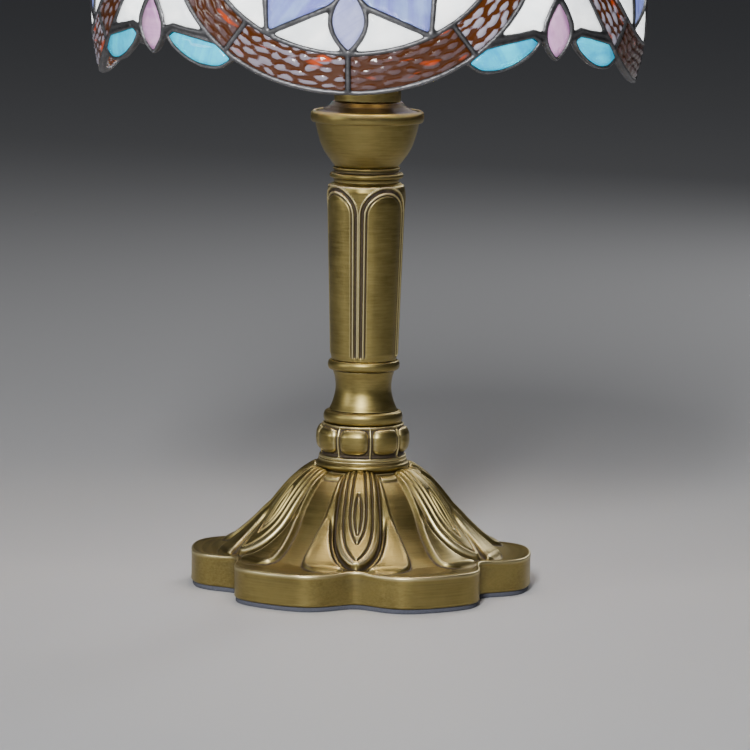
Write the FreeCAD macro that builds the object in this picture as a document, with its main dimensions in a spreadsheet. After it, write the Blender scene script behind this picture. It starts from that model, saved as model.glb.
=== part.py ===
import FreeCAD
import Part
import Sketcher
import math
import os
import re

# Accent table lamp: cast brass foot and column, rotary lamp socket, harp, and a leaded-glass
# dome shade with a six-pointed star medallion on each of its four sides.
# Millimetres. Z is the lamp's axis, the origin is on the table under the middle of the foot,
# and the lamp's front faces -Y.

NODE_FOLDER = "parts"
FRONT = -90.0                    # direction of the lamp's front, degrees from +X

SIZES = {
    # foot
    "felt_top": 1.8, "felt_inset": 0.6, "foot_rad": 63.5, "plinth_top": 13.0, "notch_rad": 13.0,
    "notch_reach": 64.5, "notch_count": 6, "leaf_turn": -2.0,
    "dome_rad1": 52.0, "dome_z1": 15.2, "dome_rad2": 41.0, "dome_z2": 21.5, "dome_rad3": 31.0,
    "dome_z3": 32.5, "dome_rad4": 21.9, "dome_z4": 41.0, "foot_top": 42.4,
    "cave_rad": 47.0, "cave_z": 12.0, "cave_rad2": 27.0, "cave_z2": 30.0, "boss_rad": 11.0,
    "leaf_rad": 3.4, "leaf_in": 24.0, "leaf_out": 46.0, "leaf_sweep": 60.0, "weight_hole": 11.5,
    # weight, pipe and its fasteners
    "weight_rad": 42.0, "weight_low": 7.0, "weight_top": 11.9, "pipe_rad": 4.9, "pipe_bore": 3.4,
    "pipe_low": 3.4, "pipe_top": 203.0, "pipe_gap": 0.1, "nut_flats": 14.0, "nut_low": 2.4, "nut_top": 5.8,
    "washer_rad": 9.5,
    # cord bushing at the back of the foot
    "cord_z": 7.2, "cord_bore": 3.2, "bush_rad": 4.6, "bush_head": 5.0, "bush_in": 45.0, "bush_out": 52.6,
    "bush_face": 53.8,
    # column
    "collar_rad": 17.35, "collar_top": 48.2, "knop_rad": 17.0, "knop_top": 61.2, "lobes": 8,
    "lobe_turn": 33.0, "knop_ring_rad": 14.7, "knop_ring_top": 66.0, "neck_low_rad": 12.6,
    "waist_rad": 10.35, "waist_z": 74.0, "neck_top_rad": 11.5, "neck_top": 81.0,
    "neck_ring_rad": 13.35, "neck_ring_top": 84.8, "shaft_low_rad": 12.2, "shaft_top_rad": 14.2,
    "shaft_top": 150.0, "panel_turn": 34.0, "panels": 4, "panel_low": 88.0, "panel_half": 7.6,
    "panel_spring": 138.0, "panel_deep": 1.0, "capital_rad": 13.6, "capital_top": 155.8,
    "bowl_low_rad": 11.5, "bowl_mid_rad": 15.9, "bowl_mid_z": 162.0, "bowl_top_rad": 19.3,
    "bowl_top": 173.2, "rim_rad": 21.0, "rim_top": 176.5, "cover_in_rad": 13.2, "cover_top": 180.4,
    "husk_rad": 12.3, "husk_top": 196.0, "wall": 1.6,
    # socket and bulb
    "saddle_thick": 1.4, "saddle_half": 21.0, "saddle_wide": 13.0, "ear_rad": 1.6, "ear_top": 206.0,
    "socket_lip": 204.0, "socket_rad": 16.4, "shell_top": 243.0, "metal": 0.5, "hub_rad": 6.8,
    "cap_floor": 205.0, "cap_top": 209.0, "liner_wall": 0.8, "block_top": 221.0, "screw_rad": 13.1,
    "screw_wall": 0.4, "contact_rad": 4.5, "contact_thick": 1.4, "knob_z": 214.0, "knob_rad": 5.4,
    "knob_in": 33.0, "knob_out": 41.0, "spindle_rad": 1.6, "spindle_in": 8.0, "bulb_low": 222.6,
    "bulb_base_rad": 13.0, "bulb_base_top": 246.0, "bulb_neck_rad": 11.6, "bulb_rad": 23.5,
    "bulb_join_z": 256.0, "bulb_top": 296.1, "bulb_wall": 0.8,
    "stem_rad": 2.2, "stem_top": 264.0, "filament_rad": 7.0, "filament_wire": 0.5, "filament_z": 272.0,
    # harp
    "harp_wire": 1.6, "harp_low": 206.3, "harp_knee": 228.0, "harp_half": 34.0, "harp_shoulder": 254.0,
    "harp_bend": 16.25, "harp_top": 308.2, "sleeve_rad": 3.2, "sleeve_low": 197.8, "sleeve_long": 15.0,
    "sleeve_gap": 0.1, "seat_rad": 6.0, "seat_low": 309.5, "seat_top": 311.2, "stud_rad": 2.9,
    "stud_top": 328.0, "washer_thick": 1.1, "washer_out": 9.0, "rest_gap": 0.1,
    # shade
    "shade_rad": 101.6, "shade_half_z": 94.0, "shade_mid_z": 215.0, "shade_low": 190.0,
    "glass": 2.4, "came_over": 0.5, "medal_turn": -4.0, "ring_u": 72.0, "ring_v": 62.0,
    "star_u": 58.0, "star_v": 48.0, "crown_low": 126.5, "crown_high": 151.0,
    "cap_low_rad": 32.0, "cap_low": 304.8, "cap_high": 313.7, "cap_wall": 1.2, "finial_rad": 6.4,
    "finial_top": 346.0, "came": 1.0, "rim_cut": -14.0, "jewel": 0.14,
}

doc = FreeCAD.newDocument("accent_lamp")
sheet = doc.addObject("Spreadsheet::Sheet", "Sizes")
for line, (alias, value) in enumerate(SIZES.items(), start=1):
    sheet.set("A%d" % line, alias)
    sheet.set("B%d" % line, str(value))
    sheet.setAlias("B%d" % line, alias)
doc.recompute()

nodes = []
NAME = r"\b[a-z]\w*\b(?!\()"      # a name of the sheet, not a function such as sqrt(


def linked(text):
    """The expression that reads the sheet: linked('a + 2') is 'Sizes.a + 2'."""
    return re.sub(NAME, r"Sizes.\g<0>", text)


def size(text):
    """The number that an expression of the sheet's names has now."""
    return float(sheet.evalExpression(re.sub(NAME, r".\g<0>", text)))


def named(thing, label, turn=0.0):
    """Names a sub-part, turns it about the lamp's axis and lists it for export."""
    thing.Label = label
    thing.Placement = FreeCAD.Placement(
        FreeCAD.Vector(0, 0, 0), FreeCAD.Rotation(FreeCAD.Vector(0, 0, 1), turn))
    nodes.append(thing)
    return thing


# ---------------------------------------------------------------- sketches and bodies

def plane_of(body, role):
    return next(o for o in body.Origin.OriginFeatures if o.Role == role)


def new_sketch(body, name, role, offset=None):
    """A sketch on one of the body's own planes, lifted off it by an expression."""
    sketch = body.newObject("Sketcher::SketchObject", name)
    sketch.AttachmentSupport = [(plane_of(body, role), "")]
    sketch.MapMode = "FlatFace"
    if offset:
        sketch.setExpression("AttachmentOffset.Base.z", linked(offset))
    return sketch


def arc_between(start, end, radius):
    """The short arc from start to end; a positive radius turns anticlockwise."""
    chord = end - start
    across = FreeCAD.Vector(-chord.y, chord.x, 0).normalize()
    half = chord.Length / 2
    drop = math.sqrt(max(radius * radius - half * half, 0.0))
    side = 1.0 if radius > 0 else -1.0
    centre = start + chord * 0.5 + across * drop * side
    first, last = (start, end) if radius > 0 else (end, start)
    turn_a = math.atan2(first.y - centre.y, first.x - centre.x)
    turn_b = math.atan2(last.y - centre.y, last.x - centre.x)
    circle = Part.Circle(centre, FreeCAD.Vector(0, 0, 1), abs(radius))
    return Part.ArcOfCircle(circle, turn_a, turn_b)


def bound(sketch, kind, corner, text):
    """Ties a corner's distance, or an edge's radius, to an expression of the sheet."""
    expression, value = linked(text), size(text)
    if kind == "Radius":
        expression, value = "abs(%s)" % expression, abs(value)
    row = sketch.addConstraint(Sketcher.Constraint(kind, *corner, value))
    sketch.setExpression("Constraints[%d]" % row, expression)


def draw(sketch, outline, closed=True):
    """Draws an outline, each point bound to the sheet.

    A point is (x, y) or (x, y, radius): a radius makes the edge that arrives there an arc.
    """
    spots = [FreeCAD.Vector(size(p[0]), size(p[1]), 0) for p in outline]
    edges = []
    for i in range(0 if closed else 1, len(outline)):
        if len(outline[i]) == 3:
            radius = size(outline[i][2])
            geo = sketch.addGeometry(arc_between(spots[i - 1], spots[i], radius), False)
            edges.append((i, geo, (1, 2) if radius > 0 else (2, 1)))
        else:
            geo = sketch.addGeometry(Part.LineSegment(spots[i - 1], spots[i]), False)
            edges.append((i, geo, (1, 2)))
    for before, after in zip(edges[-1:] + edges[:-1], edges):
        if closed or after is not edges[0]:
            rule = Sketcher.Constraint("Coincident", before[1], before[2][1], after[1], after[2][0])
            sketch.addConstraint(rule)
    if not closed:
        bound(sketch, "DistanceX", (edges[0][1], edges[0][2][0]), outline[0][0])
        bound(sketch, "DistanceY", (edges[0][1], edges[0][2][0]), outline[0][1])
    for i, geo, ends in edges:
        bound(sketch, "DistanceX", (geo, ends[1]), outline[i][0])
        bound(sketch, "DistanceY", (geo, ends[1]), outline[i][1])
        if len(outline[i]) == 3:
            bound(sketch, "Radius", (geo,), outline[i][2])


def draw_circle(sketch, x, y, radius):
    centre = FreeCAD.Vector(size(x), size(y), 0)
    geo = sketch.addGeometry(Part.Circle(centre, FreeCAD.Vector(0, 0, 1), size(radius)), False)
    bound(sketch, "DistanceX", (geo, 3), x)
    bound(sketch, "DistanceY", (geo, 3), y)
    bound(sketch, "Radius", (geo,), radius)


def turned(label, outline, turn=0.0):
    """A body turned about Z from an outline of (radius, height) points."""
    body = doc.addObject("PartDesign::Body", label)
    sketch = new_sketch(body, label + "_profile", "XZ_Plane")
    draw(sketch, outline)
    spin = body.newObject("PartDesign::Revolution", label + "_turning")
    spin.Profile = sketch
    spin.ReferenceAxis = (sketch, ["V_Axis"])
    spin.Angle = 360.0
    sketch.Visibility = False
    doc.recompute()
    return named(body, label, turn)


def pocket(body, name, sketch, depth=None, symmetric=False, reverse=False):
    """Cuts a sketch into a body, right through it when no depth is given."""
    cut = body.newObject("PartDesign::Pocket", name)
    cut.Profile = sketch
    cut.Midplane = symmetric
    cut.Reversed = reverse
    if depth:
        cut.setExpression("Length", linked(depth))
    else:
        cut.Type = 1
    before = cut.BaseFeature.Shape.Volume
    doc.recompute()
    if cut.Shape.Volume > before - 1e-3:
        raise RuntimeError(name + " cuts nothing")
    return cut


def around(body, name, feature, count):
    """Repeats a feature about the lamp's axis."""
    ring = body.newObject("PartDesign::PolarPattern", name)
    ring.Originals = [feature]
    ring.Axis = (plane_of(body, "Z_Axis"), [""])
    ring.Angle = 360.0
    ring.setExpression("Occurrences", linked(count))
    body.Tip = ring
    doc.recompute()
    return ring


def notches(body, name):
    """The six dents in the plinth's outline, one under each carved leaf."""
    sketch = new_sketch(body, name + "_outline", "XY_Plane")
    draw_circle(sketch, "0", "-notch_reach", "notch_rad")
    cut = pocket(body, name, sketch, reverse=True)
    around(body, name + "_ring", cut, "notch_count")


# ---------------------------------------------------------------- foot

def make_foot():
    foot = turned("foot_casting", [
        ("pipe_rad + pipe_gap", "cave_z2"),
        ("boss_rad", "cave_z2"),
        ("boss_rad", "cave_z2 + 4"),
        ("cave_rad2 - 8", "cave_z2 + 4"),
        ("cave_rad2", "cave_z2 - 3"),
        ("cave_rad", "cave_z + 0.4"),
        ("foot_rad - 16", "felt_top"),
        ("foot_rad", "felt_top"),
        ("foot_rad", "plinth_top - 2"),
        ("foot_rad - 2", "plinth_top", "2"),
        ("dome_rad1", "dome_z1"),
        ("dome_rad2", "dome_z2", "-34"),
        ("dome_rad3", "dome_z3"),
        ("dome_rad4", "dome_z4", "26"),
        ("collar_rad", "foot_top"),
        ("pipe_rad + pipe_gap", "foot_top"),
    ], turn=size("leaf_turn"))
    notches(foot, "foot_notch")
    hole = new_sketch(foot, "cord_hole_outline", "XZ_Plane", "-foot_rad")
    draw_circle(hole, "0", "cord_z", "bush_rad + 0.05")
    pocket(foot, "cord_hole", hole, "foot_rad - cave_rad + 6", reverse=True)
    # raised ribs, the backs of the six carved leaves
    rib = foot.newObject("PartDesign::AdditivePipe", "leaf_rib")
    spine = new_sketch(foot, "leaf_spine", "YZ_Plane")
    draw(spine, [("-leaf_out", "dome_z2 - 5"), ("-leaf_in", "dome_z4 - 4", "-leaf_sweep")], closed=False)
    end = new_sketch(foot, "leaf_round", "XZ_Plane", "leaf_out")
    draw_circle(end, "0", "dome_z2 - 5", "leaf_rad")
    rib.Profile = end
    rib.Spine = spine
    doc.recompute()
    around(foot, "leaf_ribs", rib, "notch_count")


def make_felt():
    """The pad under the foot: its hole shows the pipe's nut, for tightening."""
    felt = turned("felt_pad", [
        ("weight_hole", "0"),
        ("foot_rad - felt_inset", "0"),
        ("foot_rad - felt_inset", "felt_top"),
        ("weight_hole", "felt_top"),
    ], turn=size("leaf_turn"))
    notches(felt, "felt_notch")


def make_weight():
    turned("weight_plate", [
        ("pipe_rad + pipe_gap", "weight_low"),
        ("weight_rad", "weight_low"),
        ("weight_rad", "weight_top"),
        ("boss_rad + 1", "weight_top"),
        ("boss_rad + 1", "cave_z2"),
        ("pipe_rad + pipe_gap", "cave_z2"),
    ])


def make_bushing():
    """The insulating bush that lines the cord's hole, headed outside the foot."""
    body = doc.addObject("PartDesign::Body", "cord_bushing")
    sketch = new_sketch(body, "cord_bushing_profile", "YZ_Plane")
    draw(sketch, [
        ("bush_in", "cord_z + cord_bore"),
        ("bush_face", "cord_z + cord_bore"),
        ("bush_face", "cord_z + bush_head"),
        ("bush_out", "cord_z + bush_head"),
        ("bush_out", "cord_z + bush_rad"),
        ("bush_in", "cord_z + bush_rad"),
    ])
    ends = [FreeCAD.Vector(x, size("cord_z"), 0) for x in (0, size("bush_in"))]
    axis = sketch.addGeometry(Part.LineSegment(*ends), True)
    for end, reach in ((1, "0"), (2, "bush_in")):
        bound(sketch, "DistanceX", (axis, end), reach)
        bound(sketch, "DistanceY", (axis, end), "cord_z")
    spin = body.newObject("PartDesign::Revolution", "cord_bushing_turning")
    spin.Profile = sketch
    spin.ReferenceAxis = (sketch, ["Axis0"])
    spin.Angle = 360.0
    doc.recompute()
    named(body, "cord_bushing", size("leaf_turn"))


# ---------------------------------------------------------------- pipe and fasteners

def tube(label, inner, outer, low, high, turn=0.0):
    """A plain ring or tube about the lamp's axis, as a body."""
    return turned(label, [(inner, low), (outer, low), (outer, high), (inner, high)], turn)


def make_pipe():
    tube("threaded_pipe", "pipe_bore", "pipe_rad", "pipe_low", "pipe_top")
    nut = doc.addObject("PartDesign::Body", "base_nut")
    sketch = new_sketch(nut, "base_nut_outline", "XY_Plane", "nut_low")
    corners = []
    for i in range(6):
        turn = math.radians(60 * i)
        corners.append(("nut_flats * %.6f" % (math.cos(turn) / math.sqrt(3)),
                        "nut_flats * %.6f" % (math.sin(turn) / math.sqrt(3))))
    draw(sketch, corners)
    draw_circle(sketch, "0", "0", "pipe_rad")
    pad = nut.newObject("PartDesign::Pad", "base_nut_pad")
    pad.Profile = sketch
    pad.setExpression("Length", linked("nut_top - nut_low"))
    doc.recompute()
    named(nut, "base_nut")
    tube("base_washer", "pipe_rad + pipe_gap", "washer_rad", "nut_top", "weight_low")


# ---------------------------------------------------------------- column

def make_column():
    bore = "pipe_rad + pipe_gap"
    turned("foot_collar", [
        (bore, "foot_top"),
        ("collar_rad", "foot_top"),
        ("collar_rad", "foot_top + 1.6"),
        ("collar_rad - 1", "foot_top + 2.1"),
        ("collar_rad - 1", "foot_top + 4.7", "1.5"),
        ("collar_rad - 1", "collar_top"),
        (bore, "collar_top"),
    ])
    knop = turned("gadroon_knop", [
        (bore, "collar_top"),
        ("knop_rad - 0.9", "collar_top"),
        ("knop_rad - 2.2", "knop_top", "12"),
        (bore, "knop_top"),
    ], turn=size("lobe_turn"))
    groove = new_sketch(knop, "lobe_groove_outline", "XY_Plane")
    draw_circle(groove, "0", "-knop_rad - 0.9", "1.6")
    cut = pocket(knop, "lobe_groove", groove, reverse=True)
    around(knop, "lobe_grooves", cut, "lobes")
    turned("knop_ring", [
        (bore, "knop_top"),
        ("knop_ring_rad - 1.2", "knop_top"),
        ("knop_ring_rad - 1.2", "knop_ring_top", "2.6"),
        (bore, "knop_ring_top"),
    ])
    turned("column_waist", [
        (bore, "knop_ring_top"),
        ("neck_low_rad", "knop_ring_top"),
        ("waist_rad", "waist_z", "-18"),
        ("neck_top_rad", "neck_top", "-24"),
        (bore, "neck_top"),
    ])
    turned("shaft_foot_ring", [
        (bore, "neck_top"),
        ("neck_ring_rad - 1", "neck_top"),
        ("neck_ring_rad - 1", "neck_ring_top", "2.1"),
        (bore, "neck_ring_top"),
    ])
    shaft = turned("column_shaft", [
        (bore, "neck_ring_top"),
        ("shaft_low_rad", "neck_ring_top"),
        ("shaft_top_rad", "shaft_top - 10"),
        ("shaft_top_rad", "shaft_top"),
        (bore, "shaft_top"),
    ], turn=size("panel_turn"))
    arch = new_sketch(shaft, "arch_outline", "XZ_Plane", "shaft_top_rad + 2")
    draw(arch, [
        ("-panel_half", "panel_low"),
        ("panel_half", "panel_low"),
        ("panel_half", "panel_spring"),
        ("-panel_half", "panel_spring", "panel_half + 0.1"),
    ])
    cut = pocket(shaft, "arch_panel", arch, "2 + panel_deep + 1.9")
    around(shaft, "arch_panels", cut, "panels")
    turned("capital_rings", [
        (bore, "shaft_top"),
        ("capital_rad - 1.4", "shaft_top"),
        ("capital_rad - 1", "shaft_top + 1"),
        ("capital_rad - 1", "shaft_top + 3.6", "1.4"),
        ("capital_rad - 1.9", "shaft_top + 4.1"),
        ("capital_rad - 2.1", "capital_top", "1.1"),
        (bore, "capital_top"),
    ])


def make_bowl():
    bore = "pipe_rad + pipe_gap"
    turned("bowl_cup", [
        (bore, "capital_top"),
        ("bowl_low_rad", "capital_top"),
        ("bowl_mid_rad", "bowl_mid_z", "20"),
        ("bowl_top_rad", "bowl_top", "22"),
        ("bowl_top_rad - wall", "bowl_top"),
        ("bowl_mid_rad - wall", "bowl_mid_z + 0.6", "-22"),
        ("bowl_low_rad - 1", "capital_top + 2.4", "-20"),
        (bore, "capital_top + 2.4"),
    ])
    turned("bowl_rim", [
        ("bowl_top_rad - wall", "bowl_top"),
        ("rim_rad - 0.8", "bowl_top"),
        ("rim_rad - 0.8", "rim_top", "2.2"),
        ("rim_rad - 1.6", "rim_top"),
        ("rim_rad - 1.6", "rim_top - 1.4"),
        ("bowl_top_rad - wall", "rim_top - 1.4"),
    ])
    turned("bowl_cover", [
        (bore, "rim_top - 1.4"),
        ("rim_rad - 1.6", "rim_top - 1.4"),
        ("rim_rad - 1.6", "rim_top"),
        ("cover_in_rad", "cover_top"),
        ("husk_rad - wall - 0.8", "cover_top"),
        ("husk_rad - wall - 0.8", "cover_top - wall"),
        (bore, "cover_top - wall"),
    ])
    turned("socket_husk", [
        ("husk_rad - wall", "cover_top"),
        ("husk_rad", "cover_top"),
        ("husk_rad", "husk_top"),
        (bore, "husk_top"),
        (bore, "husk_top - wall"),
        ("husk_rad - wall", "husk_top - wall"),
    ])


# ---------------------------------------------------------------- socket

def rod(name, radius, length, x, y, z, tilt):
    """A round rod from (x, y, z), turned by tilt about X: 0 stands up, 90 points to -Y."""
    thing = doc.addObject("Part::Cylinder", name)
    thing.setExpression("Radius", linked(radius))
    thing.setExpression("Height", linked(length))
    thing.Placement = FreeCAD.Placement(
        FreeCAD.Vector(0, 0, 0), FreeCAD.Rotation(FreeCAD.Vector(1, 0, 0), tilt))
    for axis, text in (("x", x), ("y", y), ("z", z)):
        thing.setExpression("Placement.Base." + axis, linked(text))
    return thing


def side_hole(body, name, radius):
    """The hole through a socket part's front wall for the switch spindle."""
    hole = new_sketch(body, name + "_outline", "XZ_Plane", "spindle_in")
    draw_circle(hole, "0", "knob_z", radius)
    pocket(body, name, hole, "socket_rad", reverse=True)


def make_socket():
    bore = "pipe_rad + pipe_gap"
    strip = doc.addObject("Part::Box", "saddle_strip")
    reach = "(saddle_half + ear_rad + 0.6)"
    for side, text in (("Length", "2 * " + reach), ("Width", "saddle_wide"), ("Height", "saddle_thick"),
                       ("Placement.Base.x", "-" + reach), ("Placement.Base.y", "-saddle_wide / 2"),
                       ("Placement.Base.z", "husk_top")):
        strip.setExpression(side, linked(text))
    ears = [rod("saddle_ear", "ear_rad", "ear_top - husk_top - saddle_thick / 2", side + "saddle_half", "0",
                "husk_top + saddle_thick / 2", 0) for side in ("-", "")]
    blank = doc.addObject("Part::MultiFuse", "saddle_blank")
    blank.Shapes = [strip] + ears
    saddle = doc.addObject("Part::Cut", "harp_saddle")
    saddle.Base = blank
    saddle.Tool = rod("saddle_hole", bore, "4", "0", "0", "husk_top - 1", 0)
    doc.recompute()
    named(saddle, "harp_saddle")
    floor = "husk_top + saddle_thick"
    turned("socket_cap", [
        (bore, floor),
        ("hub_rad", floor),
        ("hub_rad", floor + " + 2.4"),
        ("socket_rad", "socket_lip - 1"),
        ("socket_rad", "socket_lip"),
        ("socket_rad - metal - 0.1", "socket_lip"),
        ("socket_rad - metal - 0.1", "cap_top"),
        ("socket_rad - 2 * metal - 0.1", "cap_top"),
        ("socket_rad - 2 * metal - 0.1", "cap_floor"),
        (bore, "cap_floor"),
    ])
    shell = tube("socket_shell", "socket_rad - metal", "socket_rad", "socket_lip", "shell_top")
    side_hole(shell, "shell_hole", "spindle_rad + 0.4")
    liner_in = "socket_rad - metal - liner_wall"
    liner = tube("socket_liner", liner_in, "socket_rad - metal", "cap_top", "shell_top - 1")
    side_hole(liner, "liner_hole", "spindle_rad + 0.4")
    block = turned("switch_block", [
        ("0", "cap_floor"),
        (liner_in + " - 0.4", "cap_floor"),
        (liner_in + " - 0.4", "block_top"),
        ("0", "block_top"),
    ])
    side_hole(block, "block_hole", "spindle_rad + 0.05")
    tube("screw_shell", "screw_rad", "screw_rad + screw_wall", "block_top", "shell_top - 2")
    contact = doc.addObject("Part::Cylinder", "centre_contact")
    contact.setExpression("Radius", linked("contact_rad"))
    contact.setExpression("Height", linked("contact_thick"))
    contact.setExpression("Placement.Base.z", linked("block_top"))
    contact.Label = "centre_contact"
    nodes.append(contact)


def make_switch():
    spindle = rod("switch_spindle", "spindle_rad", "knob_out - 2 - spindle_in - 0.5",
                  "0", "-spindle_in - 0.5", "knob_z", 90)
    spindle.Label = "switch_spindle"
    nodes.append(spindle)
    knob = doc.addObject("PartDesign::Body", "switch_knob")
    face = new_sketch(knob, "switch_knob_outline", "XZ_Plane", "knob_in")
    draw_circle(face, "0", "knob_z", "knob_rad")
    pad = knob.newObject("PartDesign::Pad", "switch_knob_pad")
    pad.Profile = face
    pad.setExpression("Length", linked("knob_out - knob_in"))
    doc.recompute()
    hole = new_sketch(knob, "switch_knob_bore", "XZ_Plane", "knob_in")
    draw_circle(hole, "0", "knob_z", "spindle_rad")
    pocket(knob, "switch_knob_hole", hole, "knob_out - knob_in - 2", reverse=True)
    grip = new_sketch(knob, "switch_knob_flats", "XZ_Plane", "knob_out")
    for side in ("-", ""):
        draw_circle(grip, side + "(knob_rad + 3.4)", "knob_z", "4.4")
    pocket(knob, "switch_knob_grip", grip, "knob_out - knob_in - 2.4")
    named(knob, "switch_knob")


def make_bulb():
    turned("bulb_screw_base", [
        ("0", "bulb_low + 1"),
        ("bulb_base_rad - 5", "bulb_low + 1"),
        ("bulb_base_rad", "bulb_low + 6"),
        ("bulb_base_rad", "bulb_base_top"),
        ("bulb_neck_rad", "bulb_base_top"),
        ("bulb_neck_rad", "bulb_base_top - 4"),
        ("0", "bulb_base_top - 4"),
    ])
    turned("bulb_contact", [
        ("0", "bulb_low"),
        ("contact_rad - 1", "bulb_low"),
        ("contact_rad", "bulb_low + 1"),
        ("0", "bulb_low + 1"),
    ])
    middle = "(bulb_top - bulb_rad)"
    join = "sqrt(bulb_rad^2 - (%s - bulb_join_z)^2)" % middle
    inner = "(bulb_rad - bulb_wall)"
    inner_join = "sqrt(%s^2 - (%s - bulb_join_z)^2)" % (inner, middle)
    turned("bulb_glass", [
        ("bulb_neck_rad - bulb_wall", "bulb_base_top - 4"),
        ("bulb_neck_rad", "bulb_base_top - 4"),
        ("bulb_neck_rad", "bulb_base_top + 1"),
        (join, "bulb_join_z", "-20"),
        ("0", "bulb_top", "bulb_rad"),
        ("0", "bulb_top - bulb_wall"),
        (inner_join, "bulb_join_z", "-" + inner),
        ("bulb_neck_rad - bulb_wall", "bulb_base_top + 1", "20.8"),
    ])
    turned("bulb_stem", [
        ("0", "bulb_base_top - 4"),
        ("stem_rad * 3", "bulb_base_top - 4"),
        ("stem_rad", "bulb_base_top + 5"),
        ("stem_rad", "stem_top"),
        ("0", "stem_top"),
    ])
    ring = doc.addObject("Part::Torus", "filament_coil")
    ring.setExpression("Radius1", linked("filament_rad"))
    ring.setExpression("Radius2", linked("filament_wire"))
    ring.setExpression("Placement.Base.z", linked("filament_z"))
    pieces = [ring]
    for side in (-1, 1):
        lead = doc.addObject("Part::Cone", "filament_lead")
        lead.setExpression("Radius1", linked("filament_wire"))
        lead.setExpression("Radius2", linked("filament_wire * 0.8"))
        reach = size("filament_rad") * side
        rise = size("filament_z - stem_top") + 1
        lead.Height = math.hypot(reach, rise)
        lead.Placement = FreeCAD.Placement(
            FreeCAD.Vector(0, 0, size("stem_top") - 1),
            FreeCAD.Rotation(FreeCAD.Vector(0, 0, 1), FreeCAD.Vector(reach, 0, rise)))
        pieces.append(lead)
    joined = doc.addObject("Part::MultiFuse", "bulb_filament")
    joined.Shapes = pieces
    doc.recompute()
    named(joined, "bulb_filament")


# ---------------------------------------------------------------- harp

def make_harp():
    harp = doc.addObject("PartDesign::Body", "harp_loop")
    middle = "(harp_knee + harp_shoulder) / 2"
    knee = "(saddle_half + harp_half) / 2"
    bend, dome = "harp_bend", "harp_half"
    high = "harp_top - harp_half"
    spine = new_sketch(harp, "harp_spine", "XZ_Plane")
    draw(spine, [
        ("-saddle_half", "harp_low"),
        ("-saddle_half", "harp_knee"),
        ("-" + knee, middle, bend),
        ("-harp_half", "harp_shoulder", "-" + bend),
        ("-harp_half", high),
        ("0", "harp_top", "-%s * 1.0001" % dome),
        ("harp_half", high, "-%s * 1.0001" % dome),
        ("harp_half", "harp_shoulder"),
        (knee, middle, "-" + bend),
        ("saddle_half", "harp_knee", bend),
        ("saddle_half", "harp_low"),
    ], closed=False)
    end = new_sketch(harp, "harp_section", "XY_Plane", "harp_low")
    draw_circle(end, "-saddle_half", "0", "harp_wire")
    wire = harp.newObject("PartDesign::AdditivePipe", "harp_wire")
    wire.Profile = end
    wire.Spine = spine
    doc.recompute()
    named(harp, "harp_loop")
    for label, side in (("sleeve_left", "-"), ("sleeve_right", "")):
        sleeve = doc.addObject("PartDesign::Body", label)
        ring = new_sketch(sleeve, label + "_outline", "XY_Plane", "sleeve_low")
        draw_circle(ring, side + "saddle_half", "0", "sleeve_rad")
        draw_circle(ring, side + "saddle_half", "0", "harp_wire + sleeve_gap")
        pad = sleeve.newObject("PartDesign::Pad", label + "_pad")
        pad.Profile = ring
        pad.setExpression("Length", linked("sleeve_long"))
        doc.recompute()
        named(sleeve, label)
    turned("harp_stud", [
        ("0", "seat_low"),
        ("seat_rad", "seat_low"),
        ("seat_rad", "seat_top"),
        ("stud_rad", "seat_top"),
        ("stud_rad", "stud_top"),
        ("0", "stud_top"),
    ])
    tube("seat_washer", "stud_rad + 0.4", "washer_out", "seat_top + rest_gap",
         "seat_top + rest_gap + washer_thick")


# ---------------------------------------------------------------- shade

def make_shade_cap():
    turned("vase_cap", [
        ("stud_rad + 0.3", "cap_high - cap_wall"),
        ("washer_out + 1", "cap_high - cap_wall"),
        ("cap_low_rad - 1", "cap_low", "-60"),
        ("cap_low_rad", "cap_low"),
        ("cap_low_rad", "cap_low + 1"),
        ("washer_out + 1", "cap_high", "60"),
        ("stud_rad + 0.3", "cap_high"),
    ])
    turned("finial", [
        ("stud_rad + 0.1", "cap_high + rest_gap"),
        ("finial_rad", "cap_high + rest_gap"),
        ("finial_rad", "cap_high + 2.5"),
        ("finial_rad - 2", "cap_high + 4"),
        ("finial_rad - 2", "cap_high + 8"),
        ("finial_rad - 0.4", "cap_high + 12", "-8"),
        ("2.2", "finial_top - 9", "12"),
        ("1.6", "finial_top - 7"),
        ("2.5", "finial_top - 4.6"),
        ("2.2", "finial_top - 2.4"),
        ("0.9", "finial_top"),
        ("0", "finial_top"),
        ("0", "stud_top + 1.5"),
        ("stud_rad + 0.1", "stud_top + 0.5"),
    ])


# The shade is an oval dome. Its design is drawn flat: u runs round the dome from a medallion's
# middle and v runs up the dome from the lowest point of the medallion rings. A pattern is
# carried onto the dome along straight rays from the dome's centre.

STAR_POINTS = 6
PETAL_IN, PETAL_WIDE = 0.47, 9.3        # inner tip, and half width in degrees, of a star petal
KITE_SIDE, KITE_SPREAD = 0.67, 20.5     # where a kite is widest, and its half width in degrees


def climb_table():
    """Pairs (distance up the dome from the rim's lowest point, latitude in radians)."""
    low = math.asin(size("(shade_low - shade_mid_z) / shade_half_z"))
    flat, tall = size("shade_rad"), size("shade_half_z")
    steps = 2000
    table, climbed = [], 0.0
    for i in range(steps + 1):
        lat = low + (math.pi / 2 - low) * i / steps
        table.append((climbed, lat))
        climbed += math.hypot(flat * math.sin(lat), tall * math.cos(lat)) * (math.pi / 2 - low) / steps
    return table


CLIMB = climb_table()


def latitude(v):
    """The latitude at a height v of the flat design; below the rim it runs straight on."""
    rate = (CLIMB[1][1] - CLIMB[0][1]) / (CLIMB[1][0] - CLIMB[0][0])
    if v <= 0:
        return CLIMB[0][1] + rate * v
    step = next((i for i in range(1, len(CLIMB)) if CLIMB[i][0] >= v), len(CLIMB) - 1)
    (low, lat), (high, after) = CLIMB[step - 1], CLIMB[step]
    return lat + (after - lat) * (v - low) / (high - low)


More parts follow.
